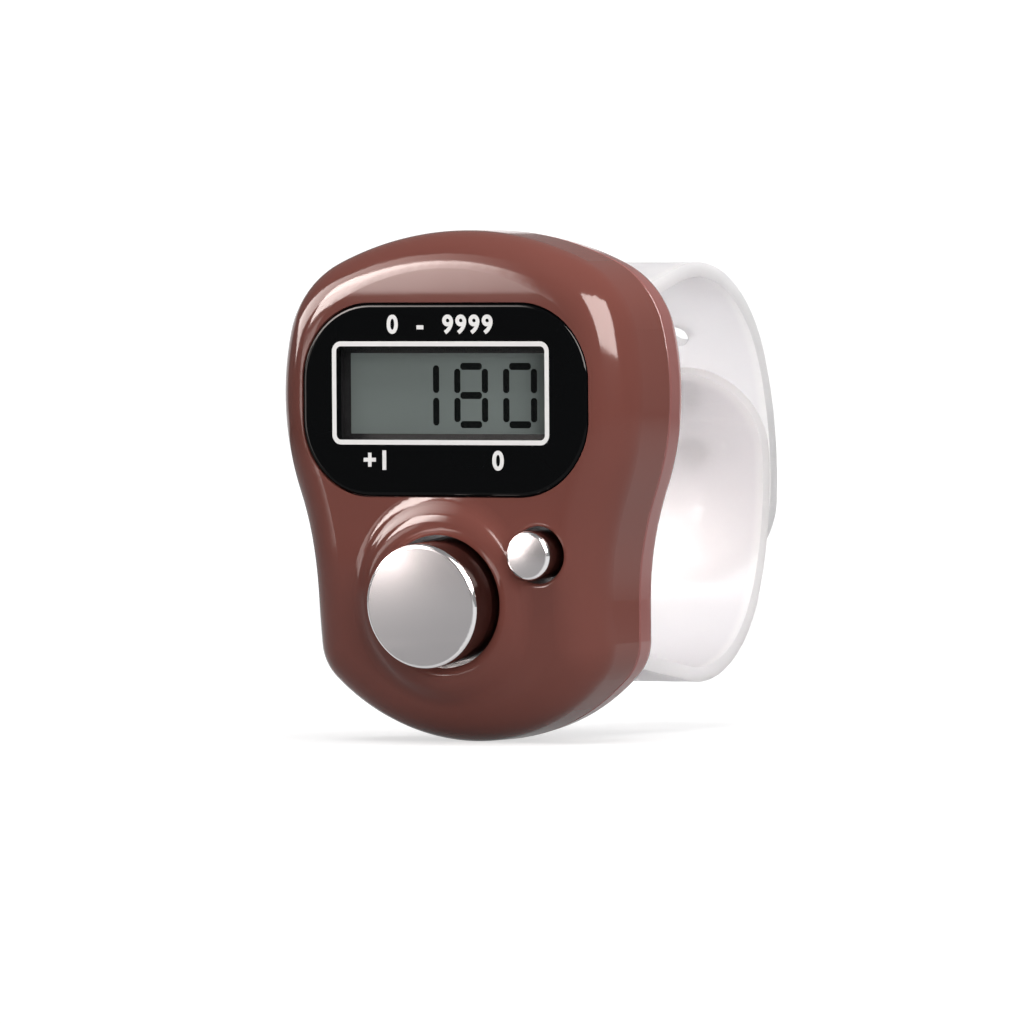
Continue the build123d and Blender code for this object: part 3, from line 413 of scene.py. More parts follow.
def segment_places():
    """A point for each lit segment, with its turn about Y and its length."""
    across = FIGURE_SIZE.x / 2 - SEGMENT_WIDTH / 2
    up = FIGURE_SIZE.y / 2 - SEGMENT_WIDTH / 2
    upright = up - SEGMENT_GAP
    level = 2 * across - LEVEL_GAP
    tall = FIGURE_SIZE.y / 2 - SEGMENT_GAP
    spots = {
        "a": (0, up, 90, level), "d": (0, -up, 90, level), "g": (0, 0, 90, level),
        "b": (across, up / 2, 0, upright), "c": (across, -up / 2, 0, upright),
        "f": (-across, up / 2, 0, upright), "e": (-across, -up / 2, 0, upright),
        "B": (across, FIGURE_SIZE.y / 4, 0, tall), "C": (across, -FIGURE_SIZE.y / 4, 0, tall),
    }
    for place, figure in enumerate(reversed(READING)):
        for letter in LIT_SEGMENTS[figure]:
            x, z, turn, length = spots[letter]
            middle = (FIGURE_MIDDLE.x - place * FIGURE_PITCH + x, FILM_FACE, FIGURE_MIDDLE.y + z)
            yield middle, radians(turn), length


def build_segment_row():
    """Geometry Nodes: a segment on every point, turned and stretched by the point's own values."""
    tree, start, end = open_group(
        "segment row", "GeometryNodeTree",
        [("Points", "NodeSocketGeometry", None), ("Segment", "NodeSocketObject", None),
         ("Stretch", "NodeSocketFloat", 1.0), ("Finish", "NodeSocketMaterial", None)],
        [("Segments", "NodeSocketGeometry")])
    pattern = add(tree, "GeometryNodeObjectInfo")
    turn = add(tree, "GeometryNodeInputNamedAttribute", data_type="FLOAT")
    turn.inputs["Name"].default_value = "turn"
    length = add(tree, "GeometryNodeInputNamedAttribute", data_type="FLOAT")
    length.inputs["Name"].default_value = "length"
    stretched = add(tree, "ShaderNodeMath", operation="MULTIPLY")
    about_y = add(tree, "ShaderNodeCombineXYZ")
    long_z = add(tree, "ShaderNodeCombineXYZ")
    long_z.inputs["X"].default_value = 1.0
    long_z.inputs["Y"].default_value = 1.0
    placed = add(tree, "GeometryNodeInstanceOnPoints")
    real = add(tree, "GeometryNodeRealizeInstances")
    dressed = add(tree, "GeometryNodeSetMaterial")
    wire(tree, (start, "Segment", pattern, "Object"),
               (turn, "Attribute", about_y, "Y"),
               (length, "Attribute", stretched, 0),
               (start, "Stretch", stretched, 1),
               (stretched, "Value", long_z, "Z"),
               (start, "Points", placed, "Points"),
               (pattern, "Geometry", placed, "Instance"),
               (about_y, "Vector", placed, "Rotation"),
               (long_z, "Vector", placed, "Scale"),
               (placed, "Instances", real, "Geometry"),
               (real, "Geometry", dressed, "Geometry"),
               (start, "Finish", dressed, "Material"),
               (dressed, "Geometry", end, "Segments"))
    return tree


def grown(name, seed_mesh, tree, values):
    """The plain mesh that a Geometry Nodes tree makes from a mesh, with its named inputs set."""
    seed = bpy.data.objects.new(name, seed_mesh)
    bpy.context.scene.collection.objects.link(seed)
    modifier = seed.modifiers.new(name, "NODES")
    modifier.node_group = tree
    for socket in tree.interface.items_tree:
        if socket.in_out == "INPUT" and socket.name in values:
            modifier[socket.identifier] = values[socket.name]
    bpy.context.view_layer.update()
    mesh = bpy.data.meshes.new_from_object(seed.evaluated_get(bpy.context.evaluated_depsgraph_get()))
    bpy.data.objects.remove(seed)
    return mesh


segment_dark = finish_of("segment_dark", SEGMENT_BLACK, roughness=0.4, spread=0.2, scuff=0.05, relief=0.02,
                         specular_ior_level=0.0)
spots = list(segment_places())
points = bpy.data.meshes.new("segment_points")
points.from_pydata([middle for middle, _, _ in spots], [], [])
for label, column in (("turn", 1), ("length", 2)):
    values = points.attributes.new(label, "FLOAT", "POINT")
    values.data.foreach_set("value", [spot[column] for spot in spots])
pattern = bpy.data.objects.new("segment_pattern", segment_mesh())
bpy.context.scene.collection.objects.link(pattern)
figures = grown("display_figures", points, build_segment_row(),
                {"Segment": pattern, "Finish": segment_dark})
bpy.data.objects.remove(pattern)
piece_of("display_figures", figures, None, "case")

# Display cell, frame and connector: two bonded sheets of float glass, a white moulded frame round them,
# and a striped elastomer strip, carbon and silicone in turn, that joins the glass's ledge to the board.
STRIPE_SCALE = 1700.0
GLASS_TINT = (0.80, 0.86, 0.84)
FRAME_WHITE = (0.70, 0.70, 0.67)
SILICONE_PINK = (0.55, 0.22, 0.20)
CARBON_LAYER = (0.01, 0.01, 0.01, 1.0)
cell_glass = finish_of("cell_glass", GLASS_TINT, roughness=0.02, spread=0.02, scuff=0.02, relief=0.01,
                       transmission_weight=1.0, ior=1.52)
coat_node("lcd_glass", cell_glass)
frame_white = finish_of("frame_white", FRAME_WHITE, roughness=0.45, spread=0.05, scuff=0.1, relief=0.15)
coat_node("lcd_frame", frame_white)


def striped_elastomer():
    """Pink silicone with black carbon layers across the strip."""
    material = finish_of("connector_stripes", SILICONE_PINK, roughness=0.5, spread=0.05, relief=0.1)
    tree = material.node_tree
    place = add(tree, "ShaderNodeTexCoord")
    stripes = add(tree, "ShaderNodeTexWave", bands_direction="X")
    stripes.inputs["Scale"].default_value = STRIPE_SCALE
    layers = add(tree, "ShaderNodeMix", data_type="RGBA")
    layers.inputs["B"].default_value = CARBON_LAYER
    wire(tree, (place, "Object", stripes, "Vector"),
               (stripes, "Fac", layers, "Factor"),
               (tree.nodes["drift"], "Result", layers, "A"),
               (layers, "Result", tree.nodes["Principled BSDF"], "Base Color"))
    return material


coat_node("zebra_strip", striped_elastomer())

# Buttons: hollow caps moulded in hard plastic and bright-chromed, which drop into their bores from inside.
# The plating is satin on the crown, with faint hairlines from fingertips, and a mirror round its edge, where
# its colour is a painted highlight; down the skirt it is painted darker, a painted shade.
CHROME = (0.395, 0.385, 0.391)
RIM_FACING = (0.80, 0.95)
# Painted highlight: the chrome's colour turns near white where the crown turns away from the front, round its
# edge.
RIM_PAINTED_HIGHLIGHT = (0.92, 0.91, 0.92, 1.0)
RIM_ROUGHNESS = 0.09
# Painted shade: the chrome's colour is darkened down the skirt, where it stands in the shade of its bore.
SKIRT_SHADE_FACING = (0.05, 0.35)
SKIRT_PAINTED_SHADE = (0.19, 0.18, 0.18, 1.0)


def plated_chrome():
    """Chrome that turns from satin to mirror at the crown's edge with a painted highlight there, and painted
    shade down the skirt in the bore.
    """
    material = finish_of("button_chrome", CHROME, roughness=0.24, spread=0.02, scuff=0.08, relief=0.015,
                         marks=420.0, metallic=1.0)
    tree = material.node_tree
    shader = tree.nodes["Principled BSDF"]
    place = add(tree, "ShaderNodeTexCoord")
    turned = add(tree, "ShaderNodeSeparateXYZ")
    rim = add(tree, "ShaderNodeMapRange", interpolation_type="SMOOTHSTEP")
    rim.inputs["From Min"].default_value = -RIM_FACING[1]
    rim.inputs["From Max"].default_value = -RIM_FACING[0]
    skirt_shade_mask = add(tree, "ShaderNodeMapRange", interpolation_type="SMOOTHSTEP")
    skirt_shade_mask.inputs["From Min"].default_value = -SKIRT_SHADE_FACING[1]
    skirt_shade_mask.inputs["From Max"].default_value = -SKIRT_SHADE_FACING[0]
    painted_rim_highlight = add(tree, "ShaderNodeMix", data_type="RGBA")
    painted_rim_highlight.inputs["B"].default_value = RIM_PAINTED_HIGHLIGHT
    painted_skirt_shade = add(tree, "ShaderNodeMix", data_type="RGBA")
    painted_skirt_shade.inputs["B"].default_value = SKIRT_PAINTED_SHADE
    sheen = add(tree, "ShaderNodeMix")
    sheen.inputs["B"].default_value = RIM_ROUGHNESS
    wire(tree, (place, "Normal", turned, "Vector"),
               (turned, "Y", rim, "Value"),
               (turned, "Y", skirt_shade_mask, "Value"),
               (rim, "Result", painted_rim_highlight, "Factor"),
               (rim, "Result", sheen, "Factor"),
               (skirt_shade_mask, "Result", painted_skirt_shade, "Factor"),
               (tree.nodes["drift"], "Result", painted_rim_highlight, "A"),
               (tree.nodes["dull"], "Value", sheen, "A"),
               (painted_rim_highlight, "Result", painted_skirt_shade, "A"),
               (painted_skirt_shade, "Result", shader, "Base Color"),
               (sheen, "Result", shader, "Roughness"))
    return material


button_chrome = plated_chrome()
coat_node("count_button", button_chrome)
coat_node("reset_button", button_chrome)

# Keypad under the buttons: milky silicone domes, compression-moulded with a matt skin, each with a pill of
# carbon rubber that closes the contacts printed on the board.
DOME_FOOT = 0.9 * MM
DOME_FOOT_HEIGHT = 0.7 * MM
DOME_WEB = 0.35 * MM
DOME_SIDES = 72
PLUNGER_RADIUS = {"count": 2.2 * MM, "reset": 1.0 * MM}
PLUNGER_UNDERSIDE = {"count": 1.4 * MM, "reset": 1.1 * MM}
SILICONE_MILKY = (0.66, 0.67, 0.66)
CARBON_BLACK = (0.012, 0.012, 0.013)
key_silicone = finish_of("key_silicone", SILICONE_MILKY, roughness=0.55, spread=0.05, relief=0.2,
                         subsurface_weight=0.3, subsurface_scale=0.5 * MM)
carbon_rubber = finish_of("carbon_rubber", CARBON_BLACK, roughness=0.7, spread=0.2, relief=0.4)
for key in ("count", "reset"):
    coat_node(key + "_pill", carbon_rubber)
    low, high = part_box(key + "_dome")
    foot = (high[0] - low[0]) / 2
    tall = high[1] - low[1]
    axis_x = (low[0] + high[0]) / 2
    axis_z = (low[2] + high[2]) / 2
    plunger = PLUNGER_RADIUS[key]
    underside = PLUNGER_UNDERSIDE[key]
    profile = [(plunger - DOME_WEB / 2, underside), (foot - DOME_FOOT, DOME_FOOT_HEIGHT - DOME_WEB),
               (foot - DOME_FOOT, 0.0), (foot, 0.0), (foot, DOME_FOOT_HEIGHT),
               (plunger, underside + DOME_WEB), (plunger, tall)]
    turn = [radians(360 * i / DOME_SIDES) for i in range(DOME_SIDES)]
    rings = [[(axis_x + r * cos(a), high[1] - h, axis_z + r * sin(a)) for a in turn] for r, h in profile]
    dome = piece_of(key + "_dome_rubber", lofted(key + "_dome_rubber", rings), key_silicone, "case",
                    smooth=30)
    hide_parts(key + "_dome")
    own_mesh(dome)

# Circuit board and its components: laminate with tracks under a green mask, the counter chip under a drop
# of black resin, and two ceramic chip components with tinned ends, all soldered or bonded to the back.
TRACK_SCALE = 420.0
TRACK_WIDTH = 0.03
MASK_GREEN = (0.012, 0.085, 0.030)
TRACK_GREEN = (0.035, 0.19, 0.07, 1.0)
RESIN_BLACK = (0.008, 0.008, 0.009)
CAPACITOR_TAN = (0.32, 0.20, 0.11)
RESISTOR_BLACK = (0.02, 0.02, 0.022)
TIN_GREY = (0.66, 0.66, 0.64, 1.0)
TINNED_FROM = 0.6


def board_laminate():
    """Solder mask over tracks, which show through it in a lighter green."""
    material = finish_of("board_laminate", MASK_GREEN, roughness=0.32, spread=0.15, relief=0.1)
    tree = material.node_tree
    place = add(tree, "ShaderNodeTexCoord")
    tracks = add(tree, "ShaderNodeTexBrick")
    tracks.inputs["Scale"].default_value = TRACK_SCALE
    tracks.inputs["Mortar Size"].default_value = TRACK_WIDTH
    lighter = add(tree, "ShaderNodeMix", data_type="RGBA")
    lighter.inputs["B"].default_value = TRACK_GREEN
    turned = add(tree, "ShaderNodeMapping")
    turned.inputs["Rotation"].default_value = (radians(90), 0, 0)
    wire(tree, (place, "Object", turned, "Vector"),
               (turned, "Vector", tracks, "Vector"),
               (tracks, "Fac", lighter, "Factor"),
               (tree.nodes["drift"], "Result", lighter, "A"),
               (lighter, "Result", tree.nodes["Principled BSDF"], "Base Color"))
    return material


def chip_ceramic(name, node, colour):
    """Fired ceramic whose two ends are tinned: metal past a set distance from the chip's middle."""
    low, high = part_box(node)
    half = (high.x - low.x) / 2
    material = finish_of(name, colour, roughness=0.5, spread=0.1, relief=0.2)
    tree = material.node_tree
    shader = tree.nodes["Principled BSDF"]
    place = add(tree, "ShaderNodeTexCoord")
    parts = add(tree, "ShaderNodeSeparateXYZ")
    away = add(tree, "ShaderNodeMath", operation="SUBTRACT")
    away.inputs[1].default_value = (low.x + high.x) / 2
    size = add(tree, "ShaderNodeMath", operation="ABSOLUTE")
    end = add(tree, "ShaderNodeMath", operation="GREATER_THAN")
    end.inputs[1].default_value = half * TINNED_FROM
    tinned = add(tree, "ShaderNodeMix", data_type="RGBA")
    tinned.inputs["B"].default_value = TIN_GREY
    wire(tree, (place, "Object", parts, "Vector"),
               (parts, "X", away, 0),
               (away, "Value", size, 0),
               (size, "Value", end, 0),
               (end, "Value", tinned, "Factor"),
               (end, "Value", shader, "Metallic"),
               (tree.nodes["drift"], "Result", tinned, "A"),
               (tinned, "Result", shader, "Base Color"))
    return material


coat_node("circuit_board", board_laminate())
coat_node("chip_blob", finish_of("chip_resin", RESIN_BLACK, roughness=0.22, spread=0.2, relief=0.25))
coat_node("chip_capacitor", chip_ceramic("capacitor_ceramic", "chip_capacitor", CAPACITOR_TAN))
coat_node("chip_resistor", chip_ceramic("resistor_ceramic", "chip_resistor", RESISTOR_BLACK))

# Button cell and its contacts: a stainless can with fine marks from drawing, held by a bridge and a leaf of
# nickel-plated spring steel that are soldered to the board.
CELL_STEEL = (0.60, 0.60, 0.58)
CONTACT_NICKEL = (0.66, 0.63, 0.55)
coat_node("button_cell", finish_of("cell_steel", CELL_STEEL, roughness=0.22, spread=0.06, scuff=0.2,
                                   relief=0.06, marks=700.0, metallic=1.0))
contact_steel = finish_of("contact_steel", CONTACT_NICKEL, roughness=0.3, spread=0.06, scuff=0.15,
                          relief=0.08, metallic=1.0)
coat_node("cell_clip", contact_steel)
coat_node("cell_contact", contact_steel)

# Rear shell: the shallow back half of the case, moulded in the front's plastic but painted paler, a painted
# highlight for the light that its edges catch.
# The front's rim locates it. Its flat back rubs on the finger, so its gloss is a little more worn.
REAR_BROWN_PAINTED_PALER = (0.315, 0.118, 0.107)
coat_node("rear_shell", finish_of("case_gloss_worn", REAR_BROWN_PAINTED_PALER, roughness=0.10, spread=0.05, scuff=0.12,
                                  relief=0.05, clouds=CASE_CLOUDS, grain=CASE_RIPPLE, specular_ior_level=0.3))

# Finger strap: two soft tongues of clear frosted vinyl, moulded flat with rounded edges and bent round the
# finger. Each leaves a slot in the back by its anchor bar, and the inner one's pegs button into the outer.
# Sizes here are in millimetres and angles in degrees, and the bend puts the strap in the frame's metres.
STRAP_WIDTH = 14.0
STRAP_THICKNESS = 1.2
STRAP_EDGE = 0.38
LAYER_MIDDLE = 0.65
SLOT_Z = 13.4
ANCHOR_FRONT = -3.3
ANCHOR_DEPTH = 1.8
ANCHOR_HEIGHT = 3.4
ROOT_STRAIGHT = 0.6
ROOT_BEND = 6.0
TURN_RADIUS = 11.5
TURN_START = 23.6
BACK_RADIUS = 24.0
BACK_CENTRE = (6.1, 0.0)
TIP_DROP = 8.8
HOLE_RADIUS = 1.0
HOLE_ANGLES = (28.9, 16.9, 4.9, -7.1)
PEG_ANGLES = (16.9, 4.9)
PEG_RADIUS = 0.88
PEG_HEAD = 1.33
PEG_SHANK = 1.95
PEG_HEAD_HEIGHT = 0.55
PEG_ROUND = 0.36
PEG_ROUND_MIDDLE = (0.1, 0.15)
STRAP_STEP = 0.4
CUT_MERGE = 1e-4
ARC_STEPS = 8
TIP_STEPS = 48
ROUND_SIDES = 32
EDGE_STEPS = 4
EDGE_ANGLE = 50
VINYL = (0.865, 0.862, 0.88)
VINYL_SCATTER = 3.0 * MM
# Painted glow: the vinyl's colour is made lighter near the strap's edges, for the light they give off.
EDGE_PAINTED_GLOW = (0.95, 0.95, 0.955, 1.0)
EDGE_LIGHT_FROM = 1.0
EDGE_LIGHT_FULL = 0.2


def on_circle(centre, radius, angle):
    """The point of a circle at an angle in degrees."""
    return centre[0] + radius * cos(radians(angle)), centre[1] + radius * sin(radians(angle))


def loop_run(away):
    """A strap layer's middle line as (Y, Z) points, its length, and a function from angle to length."""
    turn = on_circle(BACK_CENTRE, BACK_RADIUS - TURN_RADIUS, TURN_START)
    root = (ROOT_STRAIGHT, SLOT_Z - away + ROOT_BEND)
    apart = hypot(turn[0] - root[0], turn[1] - root[1])
    slope = degrees(atan2(turn[1] - root[1], turn[0] - root[0]))
    rise = slope + degrees(asin((TURN_RADIUS + ROOT_BEND) / apart))
    tip = -degrees(asin(TIP_DROP / (BACK_RADIUS + away)))
    line = [(ANCHOR_FRONT, SLOT_Z)]
    arcs = ((root, ROOT_BEND - away, -90, rise - 90), (turn, TURN_RADIUS + away, rise + 90, TURN_START),
            (BACK_CENTRE, BACK_RADIUS + away, TURN_START, tip))
    starts = []
    length = 0.0
    for centre, radius, first, last in arcs:
        steps = max(ARC_STEPS, round(abs(radians(last - first)) * radius / STRAP_STEP))
        begin = on_circle(centre, radius, first)
        length += hypot(begin[0] - line[-1][0], begin[1] - line[-1][1])
        starts.append((length, radius, first))
        line += [on_circle(centre, radius, first + (last - first) * i / steps) for i in range(steps + 1)]
        length += abs(radians(last - first)) * radius

    def reach(angle):
        if angle > TURN_START:
            on_turn = TURN_START + (angle - TURN_START) * BACK_RADIUS / TURN_RADIUS
            start, radius, first = starts[1]
            return start + radians(first - on_turn) * radius
        start, radius, first = starts[2]
        return start + radians(first - angle) * radius

    return line, length, reach


def disc_rim(radius, y):
    """Points round a disc on the flat strap's middle line, as (X, Y)."""
    turns = [2 * pi * i / ROUND_SIDES for i in range(ROUND_SIDES)]
    return [(radius * cos(turn), y + radius * sin(turn)) for turn in turns]


def strap_blank(name, length, holes, pegs):
    """The strap as moulded, flat: X across, Y along and Z outwards, in millimetres, before it is bent."""
    half = STRAP_WIDTH / 2
    tip_y = length - half
    start_y = ANCHOR_DEPTH / 2
    outline = [(half, start_y)]
    tip_turns = [pi * i / TIP_STEPS for i in range(TIP_STEPS + 1)]
    outline += [(half * cos(turn), tip_y + half * sin(turn)) for turn in tip_turns]
    outline.append((-half, start_y))
    sheet = bmesh.new()
    for loop in [outline] + [disc_rim(HOLE_RADIUS, y) for y in holes]:
        corners = [sheet.verts.new((x, y, 0.0)) for x, y in loop]
        for i, corner in enumerate(corners):
            sheet.edges.new((corner, corners[(i + 1) % len(corners)]))
    bmesh.ops.triangle_fill(sheet, use_beauty=True, edges=sheet.edges)
    for step in range(1, int(length / STRAP_STEP)):
        everything = list(sheet.verts) + list(sheet.edges) + list(sheet.faces)
        bmesh.ops.bisect_plane(sheet, geom=everything, dist=CUT_MERGE,
                               plane_co=(0, step * STRAP_STEP, 0), plane_no=(0, 1, 0))
    bmesh.ops.recalc_face_normals(sheet, faces=sheet.faces)
    mesh = bpy.data.meshes.new(name)
    sheet.to_mesh(mesh)
    sheet.free()
    flat = bpy.data.objects.new(name, mesh)
    bpy.context.scene.collection.objects.link(flat)
    thick = flat.modifiers.new("thickness", "SOLIDIFY")
    thick.thickness = STRAP_THICKNESS
    thick.offset = 0.0
    rounded = flat.modifiers.new("rounded edges", "BEVEL")
    rounded.width = STRAP_EDGE
    rounded.segments = EDGE_STEPS
    rounded.limit_method = "ANGLE"
    rounded.angle_limit = radians(EDGE_ANGLE)
    bpy.context.view_layer.update()
    solid = bpy.data.meshes.new_from_object(flat.evaluated_get(bpy.context.evaluated_depsgraph_get()))
    bpy.data.objects.remove(flat)

    whole = bmesh.new()
    whole.from_mesh(solid)
    bar = bmesh.ops.create_cube(whole, size=1.0)["verts"]
    bmesh.ops.scale(whole, vec=(STRAP_WIDTH, ANCHOR_DEPTH, ANCHOR_HEIGHT), verts=bar)
    bmesh.ops.translate(whole, vec=(0, ANCHOR_DEPTH / 2, 0), verts=bar)
    crown = PEG_SHANK + PEG_HEAD_HEIGHT
    side = [(PEG_RADIUS, 0.0), (PEG_RADIUS, PEG_SHANK), (PEG_HEAD, PEG_SHANK),
            (PEG_HEAD, crown - PEG_ROUND),
            (PEG_HEAD - PEG_ROUND_MIDDLE[0], crown - PEG_ROUND_MIDDLE[1]),
            (PEG_HEAD - PEG_ROUND, crown)]
    for y in pegs:
        rings = [[whole.verts.new((*spot, z)) for spot in disc_rim(r, y)] for r, z in side]
        for low, high in zip(rings, rings[1:]):
            for i in range(ROUND_SIDES):
                k = (i + 1) % ROUND_SIDES
                whole.faces.new((low[i], low[k], high[k], high[i]))
        whole.faces.new(rings[-1])
        whole.faces.new(list(reversed(rings[0])))
    whole.to_mesh(solid)
    whole.free()
    return solid


def build_bend():
    """Geometry Nodes: lays a flat blank along a path, and keeps each point's flat place for the finish."""
    tree, start, end = open_group(
        "bend along loop", "GeometryNodeTree",
        [("Blank", "NodeSocketGeometry", None), ("Path", "NodeSocketObject", None),
         ("Across", "NodeSocketVector", (1, 0, 0)), ("Unit", "NodeSocketFloat", MM),
         ("Finish", "NodeSocketMaterial", None)],
        [("Strap", "NodeSocketGeometry")])
    kept = add(tree, "GeometryNodeStoreNamedAttribute", data_type="FLOAT_VECTOR", domain="POINT")
    kept.inputs["Name"].default_value = "flat"
    place = add(tree, "GeometryNodeInputPosition")
    parts = add(tree, "ShaderNodeSeparateXYZ")
    path = add(tree, "GeometryNodeObjectInfo")
    along = add(tree, "ShaderNodeMath", operation="MULTIPLY")
    sample = add(tree, "GeometryNodeSampleCurve", mode="LENGTH")
    outward = add(tree, "ShaderNodeVectorMath", operation="CROSS_PRODUCT")
    side_length = add(tree, "ShaderNodeMath", operation="MULTIPLY")
    out_length = add(tree, "ShaderNodeMath", operation="MULTIPLY")
    side_step = add(tree, "ShaderNodeVectorMath", operation="SCALE")
    out_step = add(tree, "ShaderNodeVectorMath", operation="SCALE")
    beside = add(tree, "ShaderNodeVectorMath", operation="ADD")
    above = add(tree, "ShaderNodeVectorMath", operation="ADD")
    moved = add(tree, "GeometryNodeSetPosition")
    real = add(tree, "GeometryNodeRealizeInstances")
    dressed = add(tree, "GeometryNodeSetMaterial")
    wire(tree, (start, "Blank", kept, "Geometry"),
               (place, "Position", kept, "Value"),
               (place, "Position", parts, "Vector"),
               (start, "Path", path, "Object"),
               (path, "Geometry", sample, "Curves"),
               (parts, "Y", along, 0),
               (start, "Unit", along, 1),
               (along, "Value", sample, "Length"),
               (start, "Across", outward, 0),
               (sample, "Tangent", outward, 1),
               (parts, "X", side_length, 0),
               (start, "Unit", side_length, 1),
               (parts, "Z", out_length, 0),
               (start, "Unit", out_length, 1),
               (start, "Across", side_step, 0),
               (side_length, "Value", side_step, "Scale"),
               (outward, "Vector", out_step, 0),
               (out_length, "Value", out_step, "Scale"),
               (sample, "Position", beside, 0),
               (side_step, "Vector", beside, 1),
               (beside, "Vector", above, 0),
               (out_step, "Vector", above, 1),
               (kept, "Geometry", moved, "Geometry"),
               (above, "Vector", moved, "Position"),
               (moved, "Geometry", real, "Geometry"),
               (real, "Geometry", dressed, "Geometry"),
               (start, "Finish", dressed, "Material"),
               (dressed, "Geometry", end, "Strap"))
    return tree


def vinyl_finish(name, length):
    """Frosted vinyl: milky in the middle, and painted lighter along the rim, a painted glow for light that
    leaves the sheet's edges.
    """
    material = finish_of(name, VINYL, roughness=0.40, spread=0.02, scuff=0.06, relief=0.06, clouds=80.0,
                         grain=1500.0, ior=1.46, transmission_weight=0.44, subsurface_weight=1.0,
                         subsurface_radius=(1.0, 1.0, 1.0), subsurface_scale=VINYL_SCATTER)
    tree = material.node_tree
    shader = tree.nodes["Principled BSDF"]
    flat = add(tree, "ShaderNodeAttribute", attribute_name="flat")
    parts = add(tree, "ShaderNodeSeparateXYZ")
    past_tip = add(tree, "ShaderNodeMath", operation="SUBTRACT")
    past_tip.inputs[1].default_value = length - STRAP_WIDTH / 2
    beyond = add(tree, "ShaderNodeMath", operation="MAXIMUM")
    beyond.inputs[1].default_value = 0.0
    spot = add(tree, "ShaderNodeCombineXYZ")
    out = add(tree, "ShaderNodeVectorMath", operation="LENGTH")
    rim = add(tree, "ShaderNodeMapRange", interpolation_type="SMOOTHSTEP")
    rim.inputs["From Min"].default_value = STRAP_WIDTH / 2 - EDGE_LIGHT_FROM
    rim.inputs["From Max"].default_value = STRAP_WIDTH / 2 - EDGE_LIGHT_FULL
    lit = add(tree, "ShaderNodeMix", data_type="RGBA")
    lit.inputs["B"].default_value = EDGE_PAINTED_GLOW
    wire(tree, (flat, "Vector", parts, "Vector"),
               (parts, "X", spot, "X"),
               (parts, "Y", past_tip, 0),
               (past_tip, "Value", beyond, 0),
               (beyond, "Value", spot, "Y"),
               (spot, "Vector", out, 0),
               (out, "Value", rim, "Value"),
               (rim, "Result", lit, "Factor"),
               (tree.nodes["drift"], "Result", lit, "A"),
               (lit, "Result", shader, "Base Color"))
    return material


bend = build_bend()
for name, layer in (("upper_strap", 1), ("lower_strap", -1)):
    line, length, reach = loop_run(layer * LAYER_MIDDLE)
    holes = [reach(angle) for angle in HOLE_ANGLES] if layer > 0 else []
    pegs = [reach(-angle) for angle in PEG_ANGLES] if layer < 0 else []
    route = bpy.data.curves.new(name + "_route", "CURVE")
    route.dimensions = "3D"
    run = route.splines.new("POLY")
    run.points.add(len(line) - 1)
    for point, (y, z) in zip(run.points, line):
        point.co = (0, y * MM, layer * z * MM, 1)
    route_guide = bpy.data.objects.new(name + "_route", route)
    bpy.context.scene.collection.objects.link(route_guide)
    vinyl = vinyl_finish(name + "_vinyl", length)
    mesh = grown(name + "_bent", strap_blank(name + "_blank", length, holes, pegs), bend,
                 {"Path": route_guide, "Across": (layer, 0, 0), "Finish": vinyl})
    bpy.data.objects.remove(route_guide)
    strap = piece_of(name + "_vinyl", mesh, None, "case", smooth=40)
    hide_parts(name)

# Screws: steel self-tappers with cross drives, three that close the case from the back and two that hold
# the board. They are zinc-plated, with the faint blue-grey of the passivated coat.
ZINC = (0.52, 0.53, 0.55)
screw_zinc = finish_of("screw_zinc", ZINC, roughness=0.28, spread=0.08, scuff=0.2, relief=0.1,
                       marks=900.0, metallic=1.0)
coat_node("case_screws", screw_zinc)
coat_node("board_screws", screw_zinc)

# Floor and backdrop: a round white table, and a curved white sheet beyond it, as for a shop photograph.
# The table keeps the counter's shadow, and what mirrors show of it fades towards its rim.
FLOOR_Z = cad_box[0].z
FLOOR_MIDDLE = 0.01 * MM
FLOOR_RADIUS = 0.36
FLOOR_STEPS = 96
FADE_FROM = 0.07
SHEET_RADIUS = 0.9
SHEET_HEIGHT = 0.17
SHEET_FROM = 80.0
SHEET_TO = 160.0
SHEET_STEPS = 60


